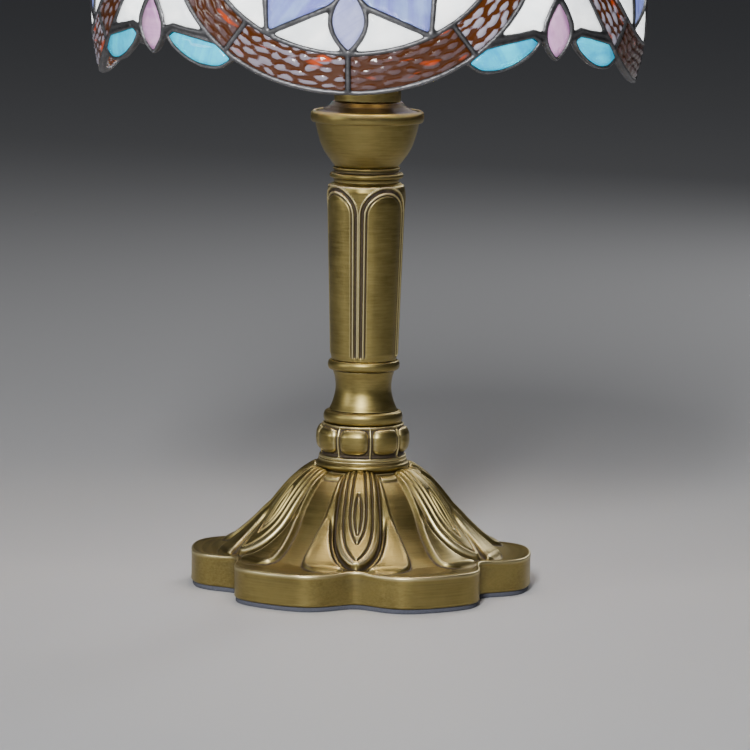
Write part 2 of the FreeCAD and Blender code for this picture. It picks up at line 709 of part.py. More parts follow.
def girth(v):
    """The radius that turns u into an angle: above the medallion's middle it stays constant."""
    return size("shade_rad") * math.cos(latitude(min(v, size("ring_v"))))


def on_dome(u, v, quarter=0):
    """The dome's outer surface at (u, v) of one quarter of the shade."""
    turn = math.radians(FRONT + size("medal_turn") + 90 * quarter) + u / girth(v)
    lat = latitude(v)
    out = size("shade_rad") * math.cos(lat)
    up = size("shade_mid_z") + size("shade_half_z") * math.sin(lat)
    return FreeCAD.Vector(out * math.cos(turn), out * math.sin(turn), up)


def at_turn(turn, v):
    """The flat design's point that is turn degrees round from the medallion's middle."""
    return math.radians(turn) * girth(v), v


def oval(wide, tall, turn):
    """A point of an oval about the medallion's middle, turn degrees from its bottom."""
    a = math.radians(turn)
    return wide * math.sin(a), size("ring_v") - tall * math.cos(a)


def star(reach, turn):
    return oval(reach * size("star_u"), reach * size("star_v"), turn)


def ring_edge(v):
    """The ring's outer edge, on the right, at height v."""
    rise = (v - size("ring_v")) / size("ring_v")
    return size("ring_u") * math.sqrt(max(1 - rise * rise, 0.0)), v


def mirrored(outline):
    return [(-u, v) for u, v in reversed(outline)]


def inset(outline, came):
    """Shrinks an outline about its middle, to leave half a came's width all round."""
    area = sum(a[0] * b[1] - b[0] * a[1] for a, b in zip(outline, outline[1:] + outline[:1])) / 2
    round_it = sum(math.dist(a, b) for a, b in zip(outline, outline[1:] + outline[:1]))
    mid_u = sum(p[0] for p in outline) / len(outline)
    mid_v = sum(p[1] for p in outline) / len(outline)
    scale = math.sqrt(max(1 - round_it * came / abs(area), 0.3))
    return [(mid_u + (u - mid_u) * scale, mid_v + (v - mid_v) * scale) for u, v in outline]


def pyramid(outline):
    """The solid of all rays from the dome's centre through an outline."""
    eye = FreeCAD.Vector(0, 0, size("shade_mid_z"))
    rays = [(on_dome(u, v) - eye) for u, v in outline]
    aim = FreeCAD.Vector(0, 0, 0)
    for ray in rays:
        aim += ray
    aim.normalize()
    far = size("shade_rad") * 1.35
    tips = [eye + ray * (far / ray.dot(aim)) for ray in rays]
    faces = [Part.Face(Part.makePolygon(tips + tips[:1]))]
    for a, b in zip(tips, tips[1:] + tips[:1]):
        faces.append(Part.Face(Part.makePolygon([eye, a, b, eye])))
    solid = Part.makeSolid(Part.makeShell(faces))
    if solid.Volume < 0:
        solid.reverse()
    return solid


def dome_shell(low, high, inner, outer, turn, aside=0.0):
    """A sector of the dome's wall, aside from the front medallion, grown inwards and outwards."""
    middle = FreeCAD.Vector(0, 0, size("shade_mid_z"))
    span = latitude(low), latitude(high)

    def side(grow):
        wide = middle + FreeCAD.Vector(size("shade_rad") + grow, 0, 0)
        tall = middle + FreeCAD.Vector(0, 0, size("shade_half_z") + grow)
        return Part.ArcOfEllipse(Part.Ellipse(wide, tall, middle), *span)

    out_arc, in_arc = side(outer), side(-inner)
    ends = [Part.makeLine(in_arc.value(lat), out_arc.value(lat)) for lat in span]
    face = Part.Face(Part.Wire(Part.__sortEdges__([out_arc.toShape(), in_arc.toShape()] + ends)))
    upright = FreeCAD.Vector(0, 0, 1)
    wall = face.revolve(FreeCAD.Vector(0, 0, 0), upright, turn)
    wall.rotate(FreeCAD.Vector(0, 0, 0), upright, FRONT + size("medal_turn") + aside - turn / 2)
    return wall


def ring_outlines():
    """The medallion's ring: ten pieces, with a seam at its lowest point."""
    seams = [0, 39, 74, 109, 144, 180]
    outlines = []
    for start, stop in zip(seams, seams[1:]):
        turns = [start + (stop - start) * i / 4 for i in range(5)]
        outer = [oval(size("ring_u"), size("ring_v"), turn) for turn in turns]
        inner = [star(1.0, turn) for turn in reversed(turns)]
        outlines.append(outer + inner)
        outlines.append(mirrored(outer + inner))
    return outlines


def petal_half(reach):
    """Half a star petal's width, in degrees, at a reach from the middle."""
    along = (1 - reach) / (1 - PETAL_IN)
    return PETAL_WIDE * math.sin(math.pi * along)


def petal_outlines():
    outlines = []
    reaches = [1 - (1 - PETAL_IN) * i / 8 for i in range(9)]
    for k in range(STAR_POINTS):
        turn = 360 * k / STAR_POINTS
        right = [star(r, turn + petal_half(r)) for r in reaches]
        left = [star(r, turn - petal_half(r)) for r in reversed(reaches[1:-1])]
        outlines.append(right + left)
    return outlines


def kite_outlines():
    outlines = []
    half = 180 / STAR_POINTS
    for k in range(STAR_POINTS):
        turn = half + 360 * k / STAR_POINTS
        side = [
            (KITE_SIDE, KITE_SPREAD),
            (0.57, half - petal_half(0.57)),
            (PETAL_IN, half),
            (size("jewel"), half),
        ]
        right = [star(reach, turn + spread) for reach, spread in side]
        left = [star(reach, turn - spread) for reach, spread in reversed(side)]
        outlines.append([star(1.0, turn)] + right + [star(size("jewel"), turn)] + left)
    return outlines


def corner_outlines():
    """The twelve white pieces between the star's petals, its kites and the ring."""
    outlines = []
    half = 180 / STAR_POINTS
    for k in range(STAR_POINTS):
        turn = 360 * k / STAR_POINTS
        for side in (1, -1):
            reaches = (KITE_SIDE, 0.745, 0.85, 0.95, 1.0)
            petal = [star(r, turn + side * petal_half(r)) for r in reaches]
            ring = [star(1.0, turn + side * half * part) for part in (0.33, 0.67, 1.0)]
            outlines.append(petal + ring)
    return outlines


def jewel_outline():
    return [star(size("jewel"), 30 * i) for i in range(12)]


def lens(turn, low, high, wide, fat=0.5):
    """A pointed leaf standing on a meridian.

    wide is its half width in degrees at its fattest, which is the fraction fat of the way up it.
    """
    steps = 6
    swell = math.log(0.5) / math.log(fat)
    side = []
    for i in range(steps + 1):
        along = i / steps
        side.append((wide * math.sin(math.pi * along ** swell), low + (high - low) * along))
    right = [at_turn(turn + half, v) for half, v in side]
    left = [at_turn(turn - half, v) for half, v in reversed(side[1:-1])]
    return right + left


def leaf_outline():
    under = [(24.0, 10.8), (27.0, 8.0), (30.0, 7.8), (33.0, 8.9), (36.0, 11.3), (38.8, 14.8), (40.4, 18.3)]
    over = [(38.6, 20.0), (35.0, 18.9), (31.8, 17.8), (27.6, 16.3)]
    return [at_turn(turn, v) for turn, v in under + over]


def fleur_outline():
    """White glass between a ring, a leaf, the pink petal and the next ring."""
    foot = [(35.0, 20.6), (38.6, 21.8), (41.2, 20.4)]
    petal = [(41.5, 24.5), (43.0, 29.5), (44.7, 33.8), (44.7, 44.0), (44.7, 57.0)]
    edge = [ring_edge(v) for v in (52, 44, 36, 28, 19.4)]
    return [at_turn(turn, v) for turn, v in foot + petal] + edge


def shoulder_outline():
    """White glass above the place where two rings meet."""
    middle = [(44.7, 67.0), (44.7, 88.0), (41.0, 97.0), (38.6, 108.0), (41.0, 117.0)]
    top = [(turn, size("crown_low") - 1) for turn in (44.0, 32.0, 20.0)]
    edge = [ring_edge(v) for v in (119, 112, 104, 95, 85, 75)]
    return [at_turn(turn, v) for turn, v in middle + top] + edge


def crown_outlines():
    outlines = []
    low, high = size("crown_low"), size("crown_high")
    for k in range(4):
        turns = [-45 + 22.5 * k + 5.625 * i for i in range(5)]
        lower = [at_turn(turn, low) for turn in turns]
        upper = [at_turn(turn, high) for turn in reversed(turns)]
        outlines.append(lower + upper)
    return outlines


def rim_void():
    """What lies below the scalloped rim: the wall is cut away there."""
    fleur = [(45.0, 10.4), (43.2, 12.6), (41.8, 16.6), (40.6, 16.8), (39.2, 13.4), (36.3, 10.0),
             (33.2, 7.6), (30.0, 6.5), (27.0, 6.7), (24.4, 9.0)]
    right = [at_turn(turn, v) for turn, v in fleur]
    wide, tall = size("ring_u") + 1, size("ring_v") + 1
    ring = [oval(wide, tall, turn) for turn in (33, 26, 19, 13, 6)]
    half = [at_turn(47, size("rim_cut")), at_turn(47, 10.4)] + right + ring
    return half + [oval(wide, tall, 0)] + mirrored(half)


def cut_pane(outline):
    """The rays through a pane, and the pane: what they cut from its own band of the dome."""
    rays = pyramid(inset(outline, size("came")))
    heights = [v for _, v in outline]
    for margin, turn in ((5, 110.0), (5, 60.0), (8, 110.0)):
        band = dome_shell(min(heights) - margin, max(heights) + margin, size("glass"), 0.0, turn)
        panes = rays.common(band).Solids
        if len(panes) == 1 and panes[0].isValid():
            return rays, panes[0]
    raise RuntimeError("a pane can't be cut from the dome's wall")


def make_shade():
    petal, drop = lens(45.0, 11.6, 32.7, 3.4, 0.45), lens(45.0, 88.0, 122.5, 5.2, 0.6)
    groups = {
        "ring_glass": ring_outlines(),
        "star_petals": petal_outlines(),
        "star_kites": kite_outlines(),
        "star_corners": corner_outlines(),
        "star_jewels": [jewel_outline()],
        "fleur_petals": [petal],
        "fleur_leaves": [leaf_outline(), mirrored(leaf_outline())],
        "fleur_fields": [fleur_outline(), mirrored(fleur_outline())],
        "shoulder_drops": [drop],
        "shoulder_fields": [shoulder_outline(), mirrored(shoulder_outline())],
        "crown_glass": crown_outlines(),
    }
    cutters = [cut_pane(mirrored(outline))[0] for outline in (petal, drop)]
    for label, outlines in groups.items():
        cuts = [cut_pane(outline) for outline in outlines]
        cutters += [rays for rays, _ in cuts]
        around_shade(label, [pane for _, pane in cuts])
    grown = size("glass + came_over"), size("came_over")
    left = dome_shell(size("rim_cut"), size("crown_high") + 2, *grown, 45.0, -22.5)
    left = left.cut(pyramid(rim_void())).cut(cutters)
    across = math.radians(FRONT + size("medal_turn") + 90)
    right = left.mirror(FreeCAD.Vector(0, 0, 0), FreeCAD.Vector(math.cos(across), math.sin(across), 0))
    around_shade("solder_lattice", left.Solids + right.Solids)


def around_shade(label, solids):
    """Repeats one quarter's solids round the shade and stores them as one sub-part."""
    whole = []
    for quarter in range(4):
        for solid in solids:
            copy = solid.copy()
            copy.rotate(FreeCAD.Vector(0, 0, 0), FreeCAD.Vector(0, 0, 1), 90 * quarter)
            whole.append(copy)
    piece = doc.addObject("Part::Feature", label)
    piece.Shape = Part.makeCompound(whole)
    named(piece, label)


def main():
    make_foot()
    make_felt()
    make_weight()
    make_bushing()
    make_pipe()
    make_column()
    make_bowl()
    make_socket()
    make_switch()
    make_bulb()
    make_harp()
    make_shade_cap()
    make_shade()
    doc.recompute()
    for thing in doc.Objects:
        if "Invalid" in thing.State or "Error" in thing.State:
            raise RuntimeError(thing.Name + " failed")
    os.makedirs(NODE_FOLDER, exist_ok=True)
    for node in nodes:
        if node.Shape.isNull() or not node.Shape.isValid():
            raise RuntimeError(node.Label + " has no valid shape")
        node.Shape.exportStep("%s/%s.step" % (NODE_FOLDER, node.Label))
        print(node.Label, len(node.Shape.Solids), round(node.Shape.Volume))


main()
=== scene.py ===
import math
import random

import bpy
import numpy as np
from mathutils import Matrix, Vector, noise
from mathutils.geometry import delaunay_2d_cdt


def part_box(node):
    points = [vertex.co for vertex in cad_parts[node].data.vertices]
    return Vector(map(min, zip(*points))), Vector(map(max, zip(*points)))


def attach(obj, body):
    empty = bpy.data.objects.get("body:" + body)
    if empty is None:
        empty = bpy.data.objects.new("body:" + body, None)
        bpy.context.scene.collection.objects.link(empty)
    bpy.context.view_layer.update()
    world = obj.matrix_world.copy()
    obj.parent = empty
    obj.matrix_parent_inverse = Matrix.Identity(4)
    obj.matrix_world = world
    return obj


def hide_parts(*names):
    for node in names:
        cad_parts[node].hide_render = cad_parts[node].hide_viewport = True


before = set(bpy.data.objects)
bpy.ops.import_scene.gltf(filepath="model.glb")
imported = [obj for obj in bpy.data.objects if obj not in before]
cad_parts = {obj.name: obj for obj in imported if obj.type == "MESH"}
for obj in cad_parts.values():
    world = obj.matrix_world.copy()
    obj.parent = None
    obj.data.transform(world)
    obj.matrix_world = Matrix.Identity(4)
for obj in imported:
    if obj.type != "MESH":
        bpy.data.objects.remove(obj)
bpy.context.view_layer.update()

# Accent table lamp: antique brass foot and column, and a leaded-glass dome shade.
# Shapes are worked out in millimetres, and MM turns them into the scene's metres.

MM = 0.001
FRONT = math.radians(-90)        # the lamp's front faces -Y
FINISH = {}                      # the materials that this script makes, by name
rng = random.Random(7)


# ---- mesh helpers

def put(name, data):
    """Adds an object to the scene."""
    thing = bpy.data.objects.new(name, data)
    bpy.context.scene.collection.objects.link(thing)
    return thing


def new_piece(name, verts, faces, body, node, slot, finish=None):
    """Makes a mesh piece that rides on a body and stands for a CAD node.

    Its material is the one named like its slot, unless finish names another.
    """
    mesh = bpy.data.meshes.new(name)
    mesh.from_pydata([tuple(v) for v in verts], [], faces)
    mesh.validate()
    mesh.materials.append(FINISH[finish or slot])
    mesh.shade_smooth()
    piece = put(name, mesh)
    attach(piece, body)
    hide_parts(node)
    return piece


def paint(piece, name, values):
    """Stores one number per vertex, for the materials to read."""
    layer = piece.data.attributes.new(name, "FLOAT", "POINT")
    layer.data.foreach_set("value", np.asarray(values, dtype=np.float32))


def unit(vectors):
    """Vectors along the last axis, each brought to length 1."""
    return vectors / np.maximum(np.linalg.norm(vectors, axis=-1, keepdims=True), 1e-9)


def waver(x, y, z):
    """Smooth noise at a point."""
    return noise.noise(Vector((x, y, z)))


def turned_grid(rows, turns):
    """Points round the lamp's axis from rows of (radius, height), which may vary round a row."""
    x, y = np.cos(turns), np.sin(turns)
    return np.array([np.stack(np.broadcast_arrays(r * x, r * y, z), axis=1) for r, z in rows])


def ring_faces(rows, cols, base=0):
    """Quads of a grid of rows that each run right round, the last row joined to the first."""
    faces = []
    for i in range(rows):
        below, above = base + i * cols, base + (i + 1) % rows * cols
        for j in range(cols):
            k = (j + 1) % cols
            faces.append((below + j, below + k, above + k, above + j))
    return faces


def smooth_curve(points, steps):
    """A Catmull-Rom curve through points, steps samples to a span."""
    pts = [np.array(p, dtype=float) for p in points]
    pts = [2 * pts[0] - pts[1]] + pts + [2 * pts[-1] - pts[-2]]
    out = []
    for a, b, c, d in zip(pts, pts[1:], pts[2:], pts[3:]):
        for i in range(steps):
            t = i / steps
            out.append(0.5 * (2 * b + (c - a) * t + (2 * a - 5 * b + 4 * c - d) * t * t
                              + (3 * b - a - 3 * c + d) * t ** 3))
    out.append(pts[-2])
    return out


def fade(x, low, high):
    """0 below low, 1 above high, smooth between."""
    t = np.clip((x - low) / (high - low), 0, 1)
    return t * t * (3 - 2 * t)


def bump_line(x, middle, wide):
    """A round ridge of height 1 along x = middle."""
    return np.exp(-((x - middle) / wide) ** 2)


# ---- material helpers

class Nodes:
    """A new material's node tree, with short calls for the nodes that this script uses."""

    def __init__(self, name):
        FINISH[name] = bpy.data.materials.new(name)
        FINISH[name].use_nodes = True
        self.tree = FINISH[name].node_tree
        self.tree.nodes.clear()
        out = self.add("OutputMaterial")
        self.shader = self.add("BsdfPrincipled")
        self.join(self.shader.outputs[0], out.inputs["Surface"])

    def add(self, kind, **settings):
        node = self.tree.nodes.new("ShaderNode" + kind)
        for key, value in settings.items():
            setattr(node, key, value)
        return node

    def join(self, source, target):
        self.tree.links.new(source, target)

    def feed(self, socket, value):
        """Gives a socket a link, a colour or a number."""
        if isinstance(value, bpy.types.NodeSocket):
            self.join(value, socket)
        elif isinstance(value, tuple):
            socket.default_value = (*value, 1)
        else:
            socket.default_value = value

    def set(self, **values):
        """Sets Principled inputs: names with underscores for spaces."""
        for key, value in values.items():
            self.feed(self.shader.inputs[key.replace("_", " ")], value)

    def noise(self, scale, detail=4, rough=0.6, where=None, distort=0):
        """Noise over the object's own coordinates, unless where gives others."""
        node = self.add("TexNoise")
        if where is None:
            where = self.add("TexCoord").outputs["Object"]
        for key, value in zip(("Vector", "Scale", "Detail", "Roughness", "Distortion"),
                              (where, scale, detail, rough, distort)):
            self.feed(node.inputs[key], value)
        return node.outputs["Fac"]

    def attribute(self, name):
        return self.add("Attribute", attribute_name=name).outputs["Fac"]

    def fill(self, node, *values):
        """Feeds a node's first sockets in order, and gives its result."""
        for socket, value in zip(node.inputs, values):
            self.feed(socket, value)
        return node.outputs[0]

    def vector(self, *parts):
        return self.fill(self.add("CombineXYZ"), *parts)

    def math(self, how, a, b):
        return self.fill(self.add("Math", operation=how), a, b)

    def times(self, a, b):
        return self.math("MULTIPLY", a, b)

    def plus(self, a, b):
        return self.math("ADD", a, b)

    def minus(self, a, b):
        return self.math("SUBTRACT", a, b)

    def span(self, value, low, high, to_low=0, to_high=1):
        """Maps low..high to to_low..to_high, held at the ends."""
        return self.fill(self.add("MapRange"), value, low, high, to_low, to_high)

    def mix(self, factor, a, b, how="MIX"):
        node = self.add("Mix", data_type="RGBA", blend_type=how)
        self.feed(node.inputs["Factor"], factor)
        self.feed(node.inputs[6], a)
        self.feed(node.inputs[7], b)
        return node.outputs[2]

    def bump(self, height, strength, distance):
        """Bumps the surface by a height, over a distance in millimetres."""
        node = self.add("Bump")
        self.feed(node.inputs["Strength"], strength)
        self.feed(node.inputs["Distance"], distance * MM)
        self.join(height, node.inputs["Height"])
        self.join(node.outputs[0], self.shader.inputs["Normal"])


def around_coords(n):
    """Coordinates that run round the lamp's axis, so that brushing follows the turning."""
    split = n.add("SeparateXYZ")
    n.fill(split, n.add("TexCoord").outputs["Object"])
    x, y, z = split.outputs
    length = n.add("VectorMath", operation="LENGTH")
    n.fill(length, n.vector(x, y))
    turn = n.math("ARCTAN2", y, x)
    return n.vector(n.times(turn, 0.02), length.outputs["Value"], z)


def antique_brass(name, tint=(1, 1, 1)):
    """Brushed brass with dark patina in its recesses, painted shade in its close corners, and rubbed, paler
    high spots.

    Its pieces carry a relief value per vertex: below 0.5 in recesses, above it on ridges.
    """
    n = Nodes(name)
    stretch = n.add("Mapping")
    stretch.inputs["Scale"].default_value = (60, 900, 900)
    n.join(around_coords(n), stretch.inputs["Vector"])
    grain = n.noise(1.6, 5, where=stretch.outputs[0])
    blotch = n.noise(55, 5)
    specks = n.noise(900, 3)
    # painted shade: ambient occlusion finds close corners and gaps between parts, standing in for shade
    # there and partly for patina
    shade = n.add("AmbientOcclusion", samples=8, only_local=True)
    shade.inputs["Distance"].default_value = 4 * MM
    corner = n.minus(1, n.span(shade.outputs["AO"], 0.35, 0.95))
    relief = n.attribute("relief")
    recess = n.span(relief, 0.5, 0.12)
    rubbed = n.span(relief, 0.62, 0.95)
    dirty = n.times(recess, n.span(specks, 0.2, 0.62, 0.78, 1))
    body = n.mix(n.span(blotch, 0.32, 0.7), (0.185, 0.14, 0.042), (0.3, 0.236, 0.078))
    body = n.mix(n.times(n.span(grain, 0.35, 0.75), 0.45), body, (0.42, 0.345, 0.135))
    # the painted corner shade darkens the colour here
    body = n.mix(n.times(corner, 0.75), body, (0.085, 0.065, 0.035))
    body = n.mix(dirty, body, (0.05, 0.036, 0.026))
    body = n.mix(n.times(rubbed, 0.85), body, (0.76, 0.66, 0.36))
    body = n.mix(1, body, tint, "MULTIPLY")
    rough = n.plus(n.span(grain, 0.25, 0.8, 0.3, 0.44), n.times(recess, 0.22))
    rough = n.plus(rough, n.span(blotch, 0.4, 0.8, 0, 0.07))
    n.set(Base_Color=body, Metallic=n.minus(1, n.times(recess, 0.45)), Roughness=rough, Anisotropic=0.35)
    n.bump(n.plus(n.times(grain, 0.7), n.times(specks, 0.35)), 0.22, 0.12)


def plain(name, low, high, rough, grit=600, stains=60, spread=0.2, pebble=(0.35, 0.2), metallic=0):
    """Moulded plastic, pressed fibre or rough iron: a fine pebbled skin with small stains."""
    n = Nodes(name)
    grain, stain = n.noise(grit), n.noise(stains)
    n.set(Base_Color=n.mix(n.span(stain, 0.3, 0.7), low, high), Metallic=metallic,
          Roughness=n.span(grain, 0.3, 0.7, rough, rough + spread))
    n.bump(grain, *pebble)


def metal(name, low, high, rough=0.28):
    """Plain worked metal: fine directionless grain and small stains."""
    plain(name, low, high, rough, grit=500, stains=70, spread=0.16, pebble=(0.15, 0.1), metallic=1)


def bulb_skin(name, colour, glow, clear, rough):
    """The bulb's glass, or its wire, with a warm light of its own."""
    n = Nodes(name)
    cloud = n.noise(40, 3, 0.5)
    warm = n.mix(cloud, (1, 0.78, 0.48), (1, 0.86, 0.62))
    n.set(Base_Color=n.mix(cloud, tuple(c * 0.92 for c in colour), colour), Roughness=rough,
          Emission_Color=warm, Emission_Strength=glow, Transmission_Weight=clear)
    n.bump(cloud, 0.05, 0.1)


def art_glass(name, deep, pale, spots=None, glow=0.45, streaks=(0.012, 0.09), rough=0.12, milky=0.8):
    """Rolled opalescent art glass, two colours drifting into each other, with a painted glow for the lit
    bulb's light shining through it.
    """
    n = Nodes(name)
    tone = n.attribute("tone")
    where = n.vector(n.times(n.attribute("flow"), streaks[0]), n.times(n.attribute("rise"), streaks[1]),
                     n.times(tone, 7))
    drift = n.noise(2.2, 4, 0.55, where, 0.8)
    cloud = n.noise(130)
    if spots:
        # on the ripple crests the pale colour is partly the glass's own streaks and partly a painted
        # reflection
        ridge = n.plus(n.attribute("ridge"), n.times(n.minus(drift, 0.5), 0.8))
        crest_streak_and_sheen = n.times(n.span(ridge, -0.06, 0.1), n.span(tone, 0.15, 0.6, 0.15, 0.9))
        # painted glints: orange spots for the bulb's light shining through the ripples
        painted_glint_dots = n.span(n.noise(1.1, 2, 0.5, where, 0.2), 0.63, 0.69, 0, 0.9)
        colour = n.mix(painted_glint_dots, n.mix(crest_streak_and_sheen, deep, pale), spots)
    else:
        cloudy = n.plus(drift, n.times(n.minus(cloud, 0.5), 0.35))
        colour = n.mix(n.span(cloudy, 0.36, 0.66), deep, pale)
    bright = n.add("HueSaturation")
    n.feed(bright.inputs["Color"], colour)
    n.feed(bright.inputs["Value"], n.span(tone, 0, 1, 0.86, 1.12))
    # the emission is painted light: the bulb's light shining through the glass
    n.set(Base_Color=bright.outputs[0], Roughness=n.span(cloud, 0.3, 0.7, rough, rough + 0.1),
          Transmission_Weight=1 - milky, IOR=1.5, Emission_Color=bright.outputs[0],
          Emission_Strength=n.span(cloud, 0.3, 0.7, glow * 0.8, glow * 1.2))
    n.bump(n.plus(cloud, n.times(n.noise(420, 3, 0.5), 0.25)), 0.28, 0.5)


def solder():
    """Lead-tin solder under a grey-black patina, brighter where it has been rubbed."""
    n = Nodes("solder")
    coarse, fine = n.noise(110, 5), n.noise(700)
    edge = n.add("NewGeometry").outputs["Pointiness"]
    rub = n.times(n.span(edge, 0.5, 0.58), n.span(fine, 0.3, 0.6, 0.4, 1))
    body = n.mix(n.span(coarse, 0.3, 0.7), (0.06, 0.06, 0.064), (0.135, 0.135, 0.142))
    body = n.mix(n.times(rub, 0.7), body, (0.29, 0.29, 0.3))
    n.set(Base_Color=body, Metallic=0.85, Roughness=n.span(fine, 0.3, 0.7, 0.34, 0.52))
    n.bump(n.plus(coarse, n.times(fine, 0.4)), 0.35, 0.35)


def felt():
    """Fine fibres of a darker and a paler shade."""
    n = Nodes("felt")
    fibre = n.noise(1400, 4, 0.7)
    n.set(Base_Color=n.mix(fibre, (0.04125, 0.044, 0.05775), (0.1125, 0.12, 0.1575)), Roughness=0.95)
    n.bump(fibre, 0.7, 0.3)


# ---- turned metal

PIPE_RAD = 5.05                  # the bore for the threaded pipe


def bead(radius, low, high, out, steps=10):
    """A half-round moulding from (radius, low) to (radius, high), standing out by out."""
    middle, half = (low + high) / 2, (high - low) / 2
    turns = [math.pi * i / steps for i in range(steps + 1)]
    return [(radius + out * math.sin(turn), middle - half * math.cos(turn)) for turn in turns]


def rounded(outline, ease=0.35):
    """Eases each corner of a closed outline by a small radius."""
    points = [np.array(point, dtype=float) for point in outline]
    out = []
    for before, here, after in zip(points[-1:] + points[:-1], points, points[1:] + points[:1]):
        back, on = before - here, after - here
        near = min(ease, np.linalg.norm(back) * 0.45, np.linalg.norm(on) * 0.45)
        if near < 0.05:
            out.append(here)
            continue
        start = here + back / np.linalg.norm(back) * near
        stop = here + on / np.linalg.norm(on) * near
        out += [start * (1 - t) ** 2 + here * 2 * t * (1 - t) + stop * t * t for t in (0, 0.33, 0.67, 1)]
    return out


def resampled(outline, step, whole=round):
    """A closed outline with its sides cut into parts of about a step, or at most one if whole is ceil."""
    out = []
    for a, b in zip(outline, outline[1:] + outline[:1]):
        parts = max(1, whole(math.dist(a, b) / step))
        out += [(a[0] + (b[0] - a[0]) * i / parts, a[1] + (b[1] - a[1]) * i / parts) for i in range(parts)]
    return out


def hollows(grid, passes, scale):
    """How far each grid point stands out of its surroundings: 0.5 is level, less is a recess."""
    mean = grid
    for _ in range(passes):
        mean = (2 * mean + np.roll(mean, 1, axis=1) + np.roll(mean, -1, axis=1)
                + np.roll(mean, 1, axis=0) + np.roll(mean, -1, axis=0)) / 6
    along = np.roll(grid, -1, axis=1) - np.roll(grid, 1, axis=1)
    down = np.roll(grid, -1, axis=0) - np.roll(grid, 1, axis=0)
    normal = unit(np.cross(along, down))
    return np.clip(0.5 + ((grid - mean) * normal).sum(axis=2) / scale, 0, 1)


def lathe(name, outline, slot="antique_brass", body="base", finish=None, relief=None, step=0.45,
          around=288, shift=0):
    """Turns a closed outline of (radius, height) points, in millimetres, about the lamp's axis.

    relief(turn, height, radius) gives how far the surface stands out there, and shift moves the
    finished piece along X. It replaces the CAD node that has its name.
    """
    profile = np.array(resampled(rounded(outline), step, math.ceil))
    turns = np.linspace(0, math.tau, around, endpoint=False)
    slope = np.roll(profile, -1, axis=0) - np.roll(profile, 1, axis=0)
    normal = unit(np.stack([slope[:, 1], -slope[:, 0]], axis=1))
    turn, radius = np.meshgrid(turns, profile[:, 0])
    height = np.repeat(profile[:, 1:], around, axis=1)
    if relief:
        lift = relief(turn, height, radius)
        radius = radius + lift * normal[:, :1]
        height = height + lift * normal[:, 1:]
    grid = turned_grid(zip(radius, height), turns)
    points = grid.reshape(-1, 3) * MM + np.array([shift * MM, 0, 0])
    piece = new_piece(name, points, ring_faces(len(profile), around), body, name, slot, finish)
    paint(piece, "relief", hollows(grid, 10, 0.3).ravel())


def tube(name, low, outline, high, **how):
    """A lathe piece whose bore fits the threaded pipe, from low up to high."""
    lathe(name, [(PIPE_RAD, low)] + outline + [(PIPE_RAD, high)], **how)


# ---- the foot

LEAF_TURN = -2                   # a leaf's meridian is 2 degrees round from the front
LEAVES_APART = 60
NOTCH_DEEP, NOTCH_WIDE = 10.9, 11
FOOT_RAD, FELT_TOP = 63.3, 1.8
SHOULDER = 0.7                   # the rounding of the plinth's upper edge
DOME = ((5, 42.4), (17.4, 43.4), (21.9, 41.7), (26.4, 38), (31, 32.6), (34, 28.6), (37, 24.9), (41, 21),
        (45, 17.6), (49, 14.9), (52, 14), (55, 13.55), (64, 13.5))
CAVE = [(47.5, FELT_TOP), (47.2, 7), (47, 12), (40, 16.5), (33, 22), (27, 26.5), (19, 33), (11, 34),
        (11, 30), (PIPE_RAD, 30), (PIPE_RAD, 36)]
# half widths of the leaf's parts at their radii, in millimetres
LEAF_EDGE = ((17, 6), (22, 8), (26, 9.6), (30, 11.2), (33, 12.6), (39, 16.2), (45, 19.2), (49, 20.2),
             (52, 19.4), (54, 15.5), (55, 10))
SPADE_EDGE = ((17, 4.4), (22, 5.6), (26, 6.4), (33, 7.5), (38, 7.8), (42, 7.1), (46, 5.1), (49.5, 2),
              (51, 0))
SPADE_LINES = (
    ((17, 3), (22, 4), (30, 4.9), (36, 5.2), (41, 4.4), (45, 2.4), (48, 0)),
    ((17, 1.3), (22, 1.9), (30, 2.7), (34, 2.8), (38, 1.9), (41.5, 0)),
    ((27, 0), (29.5, 0.9), (33, 1.2), (36, 0.8), (38.5, 0)),
)
LOBE_IN = ((31, 9.6), (36, 10.2), (41, 10), (46, 8.6), (50, 6.2), (54, 3.5))


def along_curve(points, radius):
    """A curve's half width at a radius; outside its span it is far away."""
    radii, widths = zip(*smooth_curve(points, 6))
    return np.interp(radius, radii, widths, left=-50, right=-50)


def leaf_apart(turn):
    """Degrees from the nearest leaf's meridian, signed."""
    half = LEAVES_APART / 2
    return (np.degrees(turn - FRONT) - LEAF_TURN + half) % LEAVES_APART - half


def foot_outline(turn):
    """The plinth's radius: six round lobes with a dent under each leaf."""
    return FOOT_RAD - NOTCH_DEEP * np.exp(-(np.abs(leaf_apart(turn)) / NOTCH_WIDE) ** 2.1)


